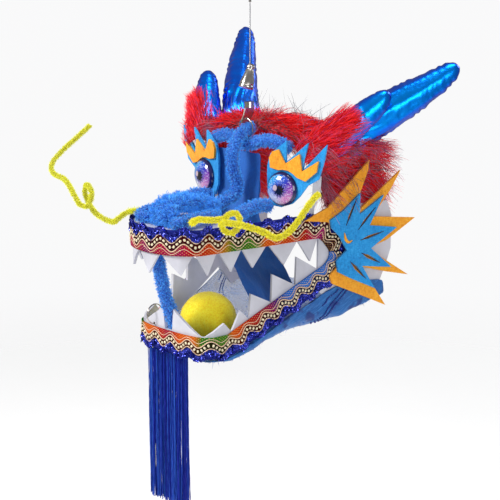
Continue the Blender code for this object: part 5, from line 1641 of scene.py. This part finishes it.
@dataclass
class Cloths:
    """The throat cloth and the sheer chin cloth."""

    chin_flat: tuple[float, float] = (0.150, 0.230)
    seams: tuple[tuple[tuple[float, float], ...], ...] = (
        ((0.0505, -0.028), (0.0170, -0.060)), ((0.0535, -0.030), (0.0200, -0.062)),
        ((0.0410, -0.031), (0.0230, -0.044)))
    stitch: tuple[float, float, float] = (0.0011, 0.0008, 0.0006)
    stitch_pitch: float = 0.0019

    def soft_copy(self, node: str, name: str, grain: float, depth: float) -> Piece:
        """A smooth copy of a CAD cloth with gentle waves."""
        cloth = Bench.copy_node(node, name)
        Bench.apply(cloth, "SUBSURF", levels=2, render_levels=2)
        Bench.roughen(cloth, grain, depth)
        return cloth

    def build_throat(self) -> None:
        """The hanging navy strip."""
        cloth = self.soft_copy("throat_cloth", "throat_sheet", 0.018, 0.004)
        points = Bench.points(cloth.data)
        Bench.map(cloth.data, points[:, [0, 2]])
        Bench.finish(cloth, THROAT)
        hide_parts("throat_cloth")
        edges = self.fray(cloth, "throat_threads", 260, 0.006, 43,
                          lambda points, normals: np.abs(normals[:, 1]) < 0.35)

    def build_chin(self) -> None:
        """The sling under the jaw."""
        cloth = self.soft_copy("chin_cloth", "chin_sheet", 0.020, 0.005)
        points = Bench.points(cloth.data)
        turned = np.stack([points[:, 1] * 0.8 + points[:, 2] * 0.6 + points[:, 0] * 0.5,
                           points[:, 2] * 0.8 - points[:, 1] * 0.6 + points[:, 0] * 0.8], 1)
        Bench.map(cloth.data, turned)
        Bench.finish(cloth, ORGANZA)
        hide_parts("chin_cloth")
        rows = [self.stitch_row(cloth, side, start, end) for side in Side for start, end in self.seams]
        Bench.select(rows[0])
        for row in rows:
            row.select_set(True)
        bpy.ops.object.join()
        fray = self.fray(cloth, "chin_threads", 600, 0.0045, 41,
                         lambda points, normals: normals[:, 2] < -0.35)

    def stitch_row(self, cloth: Piece, side: Side, start: tuple, end: tuple) -> Piece:
        """A row of short stitches on the flat side of the chin cloth, from one (y, z) to another."""
        mesh = cloth.data
        tree = BVHTree.FromPolygons([corner.co for corner in mesh.vertices],
                                    [face.vertices for face in mesh.polygons])
        count = round(math.dist(start, end) / self.stitch_pitch)
        frames = []
        for share in (np.arange(count) + 0.5) / count:
            y, z = np.array(start) + (np.array(end) - np.array(start)) * share
            spot, normal, _, _ = tree.ray_cast(head(side.value * 0.15, y + 0.0012 * math.sin(share * 9), z),
                                               Vector((-side.value, 0, 0)))
            if spot is None:
                continue
            travel = Vector((0, end[0] - start[0], end[1] - start[1]))
            normal = normal if normal.x * side.value > 0 else -normal
            across = normal.cross(travel).normalized()
            turn = Matrix((across.cross(normal), across, normal)).transposed().to_4x4()
            frames.append(np.array(Matrix.Translation(spot + normal * 0.0005) @ turn))
        stitch = Bench.primitive(bpy.ops.mesh.primitive_ico_sphere_add, subdivisions=1, radius=1)
        stitch.scale = self.stitch
        Bench.settle(stitch)
        return copies(f"chin_stitches_{side.word}", stitch, np.array(frames), STITCH)

    def fray(self, cloth: Piece, name: str, count: int, reach: float, seed: int,
             keep: Callable[[Rows, Rows], Rows]) -> Piece:
        """Loose threads where a cloth's edge is frayed.

        Args:
            cloth: the cloth.
            name: the threads' name.
            count: how many threads at most.
            reach: the longest thread.
            seed: for the random draws.
            keep: tells from points and normals where threads may start.

        Returns:
            The threads.
        """
        rng = chance(seed)
        roots, normals = scatter(cloth, count * 12, rng, keep)
        roots, normals = roots[:count], normals[:count]
        lean = unit(normals * 0.4 + rng.normal(size=normals.shape) * 0.8)
        bend = unit(rng.normal(size=normals.shape)) * 0.6
        size = reach * (0.25 + 0.75 * rng.random((len(roots), 1, 1)) ** 2)
        lines = bent(roots, size, lean, bend, 6)
        tint = shades(rng, len(roots), (0.004, 0.012, 0.16), (0.01, 0.05, 0.40), (0.02, 0.16, 0.62))
        return fibres(name, lines, 0.00038, tint, LOOSE_THREAD, rng)

    def build(self) -> None:
        """Make both cloths."""
        self.build_throat()
        self.build_chin()


@dataclass
class Hanger:
    """The wire that the head hangs by, and its fittings."""

    wire_top: float = DROP - LOOP_RADIUS * 2 - WIRE_DIAMETER - GAP - SLEEVE_LENGTH - GAP
    wire_foot: float = FERRULE_FOOT + GAP + FERRULE_LENGTH + GAP
    diameter: float = WIRE_DIAMETER
    swivel_lean: float = math.radians(19)
    swivel_steps: tuple[tuple[float, float], ...] = (
        (0.000, 0.0058), (0.0006, 0.0066), (0.0020, 0.0066), (0.0024, 0.0060), (0.0034, 0.0060),
        (0.0040, 0.0064), (0.0160, 0.0037), (0.0165, 0.0031), (0.0178, 0.0031), (0.0182, 0.0036),
        (0.0196, 0.0036), (0.0200, 0.0029), (0.0215, 0.0028))

    def build_wire(self) -> None:
        """The taut wire: a straight round curve from the ferrule up to the sleeve of its crimped loop."""
        curve = bpy.data.curves.new("wire", "CURVE")
        curve.dimensions = "3D"
        curve.bevel_depth = self.diameter / 2
        curve.bevel_resolution = 3
        curve.use_fill_caps = True
        spline = curve.splines.new("POLY")
        count = 18
        spline.points.add(count - 1)
        for index in range(count):
            share = index / (count - 1)
            z = self.wire_foot + (self.wire_top - self.wire_foot) * share
            spline.points[index].co = (*head(0, 0, z), 1)
        wire = Bench.finish(Bench.link("hanging_wire", curve), WIRE)
        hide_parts("hang_wire")
        head(0, 0, self.wire_foot)

    def build_fittings(self) -> None:
        """Give the plain metal fittings their finish."""
        Bench.dress(("hang_loop", "hang_sleeve", "ferrule", "hook_cap", "hook_plate", "hang_ring"), STEEL)

    def build_swivel(self) -> None:
        """The leaning swivel, drawn up step by step from a disc."""
        low, high = (Vector(corner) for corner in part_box("swivel"))
        centre, length = (low + high) / 2, self.swivel_steps[-1][0]
        swivel = Bench.primitive(bpy.ops.mesh.primitive_circle_add, vertices=40, fill_type="NGON",
                                 radius=self.swivel_steps[0][1], location=(0, 0, -length / 2))
        bpy.ops.object.mode_set(mode="EDIT")
        bpy.ops.mesh.select_all(action="SELECT")
        for (height, radius), (after, wider) in zip(self.swivel_steps, self.swivel_steps[1:]):
            bpy.ops.mesh.extrude_region_move(TRANSFORM_OT_translate={"value": (0, 0, after - height)})
            bpy.ops.transform.resize(value=(wider / radius, wider / radius, 1))
        bpy.ops.object.mode_set(mode="OBJECT")
        Bench.apply(swivel, "BEVEL", width=0.0002, segments=2, limit_method="ANGLE")
        bpy.ops.object.shade_smooth_by_angle(angle=math.radians(35))
        swivel.rotation_euler = (-self.swivel_lean, 0, 0)
        swivel.location = centre
        Bench.settle(swivel)
        swivel.name = "swivel_turned"
        Bench.finish(swivel, STEEL, smooth=False)
        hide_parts("swivel")

    def build_ring(self) -> None:
        """The split ring: one wire wound nearly twice round."""
        low, high = (Vector(corner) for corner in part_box("split_ring"))
        centre = (low + high) / 2
        wire = (high.x - low.x) / 4
        radius = (high.z - low.z) / 2 - wire
        angle = np.linspace(0, 1.95 * math.tau, 130) - 0.6
        x = centre.x - wire + 2 * wire * np.clip((angle / math.tau - 0.75) * 4, 0, 1)
        run = np.stack([x, centre.y + radius * np.cos(angle), centre.z + radius * np.sin(angle)], 1)
        ring = tube("split_ring_wire", run, wire * 0.96, STEEL, 10)
        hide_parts("split_ring")

    def build(self) -> None:
        """Make the hanger."""
        self.build_fittings()
        self.build_swivel()
        self.build_ring()


@dataclass
class Boards:
    """Boards with their teeth, and the eye posts."""

    nodes: tuple[str, ...] = ("upper_board", "lower_board", "cheek_board_left", "cheek_board_right",
                              "nose_board", "eye_post_left", "eye_post_right")

    def build(self) -> None:
        """Give the boards their finish."""
        Bench.dress(self.nodes, BOARD)


@dataclass
class Pearl:
    """The matt yellow ball."""

    radius: float = 0.025
    hairs: int = 9000
    fuzz: Pile = Pile(0.0009, 0.00016, 1.2, 0.6, 3)

    def build(self) -> None:
        """Make the ball."""
        low, high = (Vector(corner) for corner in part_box("pearl"))
        ball = Bench.settle(Bench.primitive(bpy.ops.mesh.primitive_ico_sphere_add, subdivisions=6,
                                            radius=self.radius, location=(low + high) / 2))
        ball.name = "pearl_ball"
        Bench.roughen(ball, 0.004, 0.0006)
        Bench.finish(ball, PEARL)
        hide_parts("pearl")
        # The hair glows faintly in its own tint: painted light.
        hair = Fibre("pearl_hair", "pearl", 0.9, 0.0, 0.22)
        self.fuzz.grow("pearl_fuzz", ball, self.hairs, hair, 9, ((0.92, 0.66, 0.01), (1.0, 0.86, 0.05)))


@dataclass
class Studio:
    """The floor, the lights and the camera."""

    azimuth: float = math.radians(45)
    elevation: float = math.radians(13)
    distance: float = 1.2
    lens: float = 96.0
    floor: float = -0.62

    def build_camera(self) -> None:
        """A camera at the photograph's angle, level, looking at the middle of the head."""
        back = Vector((math.sin(self.azimuth) * math.cos(self.elevation),
                       -math.cos(self.azimuth) * math.cos(self.elevation), math.sin(self.elevation)))
        right = Vector((math.cos(self.azimuth), math.sin(self.azimuth), 0))
        data = bpy.data.cameras.new("camera")
        data.sensor_width, data.lens, data.clip_end = 36, self.lens, 20
        camera = Bench.link("camera", data)
        camera.matrix_world = (Matrix.Translation(back * self.distance + head(0, 0, 0))
                               @ Matrix((right, back.cross(right), back)).transposed().to_4x4())
        bpy.context.scene.camera = camera

    def build_lights(self) -> None:
        """Soft boxes: a key from the upper left, a fill from the right, one above and one behind."""
        aim = head(0, 0, 0.01)
        for name, place, power, size, colour in (
                ("key", (-0.7, -1.4, 1.0), 34, 0.6, (1.0, 0.99, 0.97)),
                ("fill", (1.7, -0.6, 0.2), 11, 0.8, (0.97, 0.98, 1.0)),
                ("top", (0.3, 0.2, 1.5), 12, 0.7, (1, 1, 1)),
                ("rim", (0.2, 1.6, 0.7), 8, 0.6, (1, 1, 1))):
            data = bpy.data.lights.new(name, "AREA")
            data.energy, data.size, data.color = power, size, colour
            light = Bench.link(name, data)
            light.location = aim + Vector(place)
            light.rotation_euler = (-Vector(place)).to_track_quat("-Z", "Y").to_euler()

    def build_floor(self) -> None:
        """A pale floor that fades away all round."""
        floor = Bench.settle(Bench.primitive(bpy.ops.mesh.primitive_plane_add, size=6,
                                             location=(0, 0, self.floor)))
        floor.name = "floor"
        paint = Paint("pale_floor", (0.9, 0.9, 0.9), 0.9)
        paint.feed("Base Color", paint.ramp(paint.noise(3), (0.3, (0.90, 0.90, 0.90)),
                                            (0.7, (0.93, 0.93, 0.93))))
        x, y, _ = paint.place().parts()
        reach = (x * x + y * y) ** 0.5
        paint.feed("Alpha", 1 - reach.above(0.85, 0.55))
        floor.data.materials.append(paint.material)

    def build(self) -> None:
        """Make the studio."""
        world = bpy.data.worlds.new("studio")
        world.use_nodes = True
        nodes, links = world.node_tree.nodes, world.node_tree.links
        soft = nodes["Background"]
        soft.inputs["Color"].default_value = (0.93, 0.94, 0.96, 1)
        soft.inputs["Strength"].default_value = 0.34
        seen = nodes.new("ShaderNodeBackground")
        seen.inputs["Color"].default_value = (0.95, 0.95, 0.955, 1)
        blend = nodes.new("ShaderNodeMixShader")
        links.new(nodes.new("ShaderNodeLightPath").outputs["Is Camera Ray"], blend.inputs[0])
        links.new(soft.outputs[0], blend.inputs[1])
        links.new(seen.outputs[0], blend.inputs[2])
        links.new(blend.outputs[0], nodes["World Output"].inputs["Surface"])
        bpy.context.scene.world = world
        bpy.context.scene.view_settings.view_transform = "Standard"
        self.build_lights()
        self.build_floor()


def main() -> None:
    """Build the studio and every sub-assembly in order."""
    logging.basicConfig(level=logging.INFO, format="%(name)s: %(message)s")
    studio = Studio()
    studio.build_camera()
    hanger = Hanger()
    hanger.build_wire()
    parts = (studio, hanger, Boards(), MouthTrim(), PlushStems(), Whiskers(), FurBand(), *HORNS, Eyes(),
             Felts(), Pearl(), Cloths(), Fringe())
    for part in parts:
        part.build()
        LOG.info("%s", getattr(part, "node", type(part).__name__))


if __name__ == "__main__":
    main()
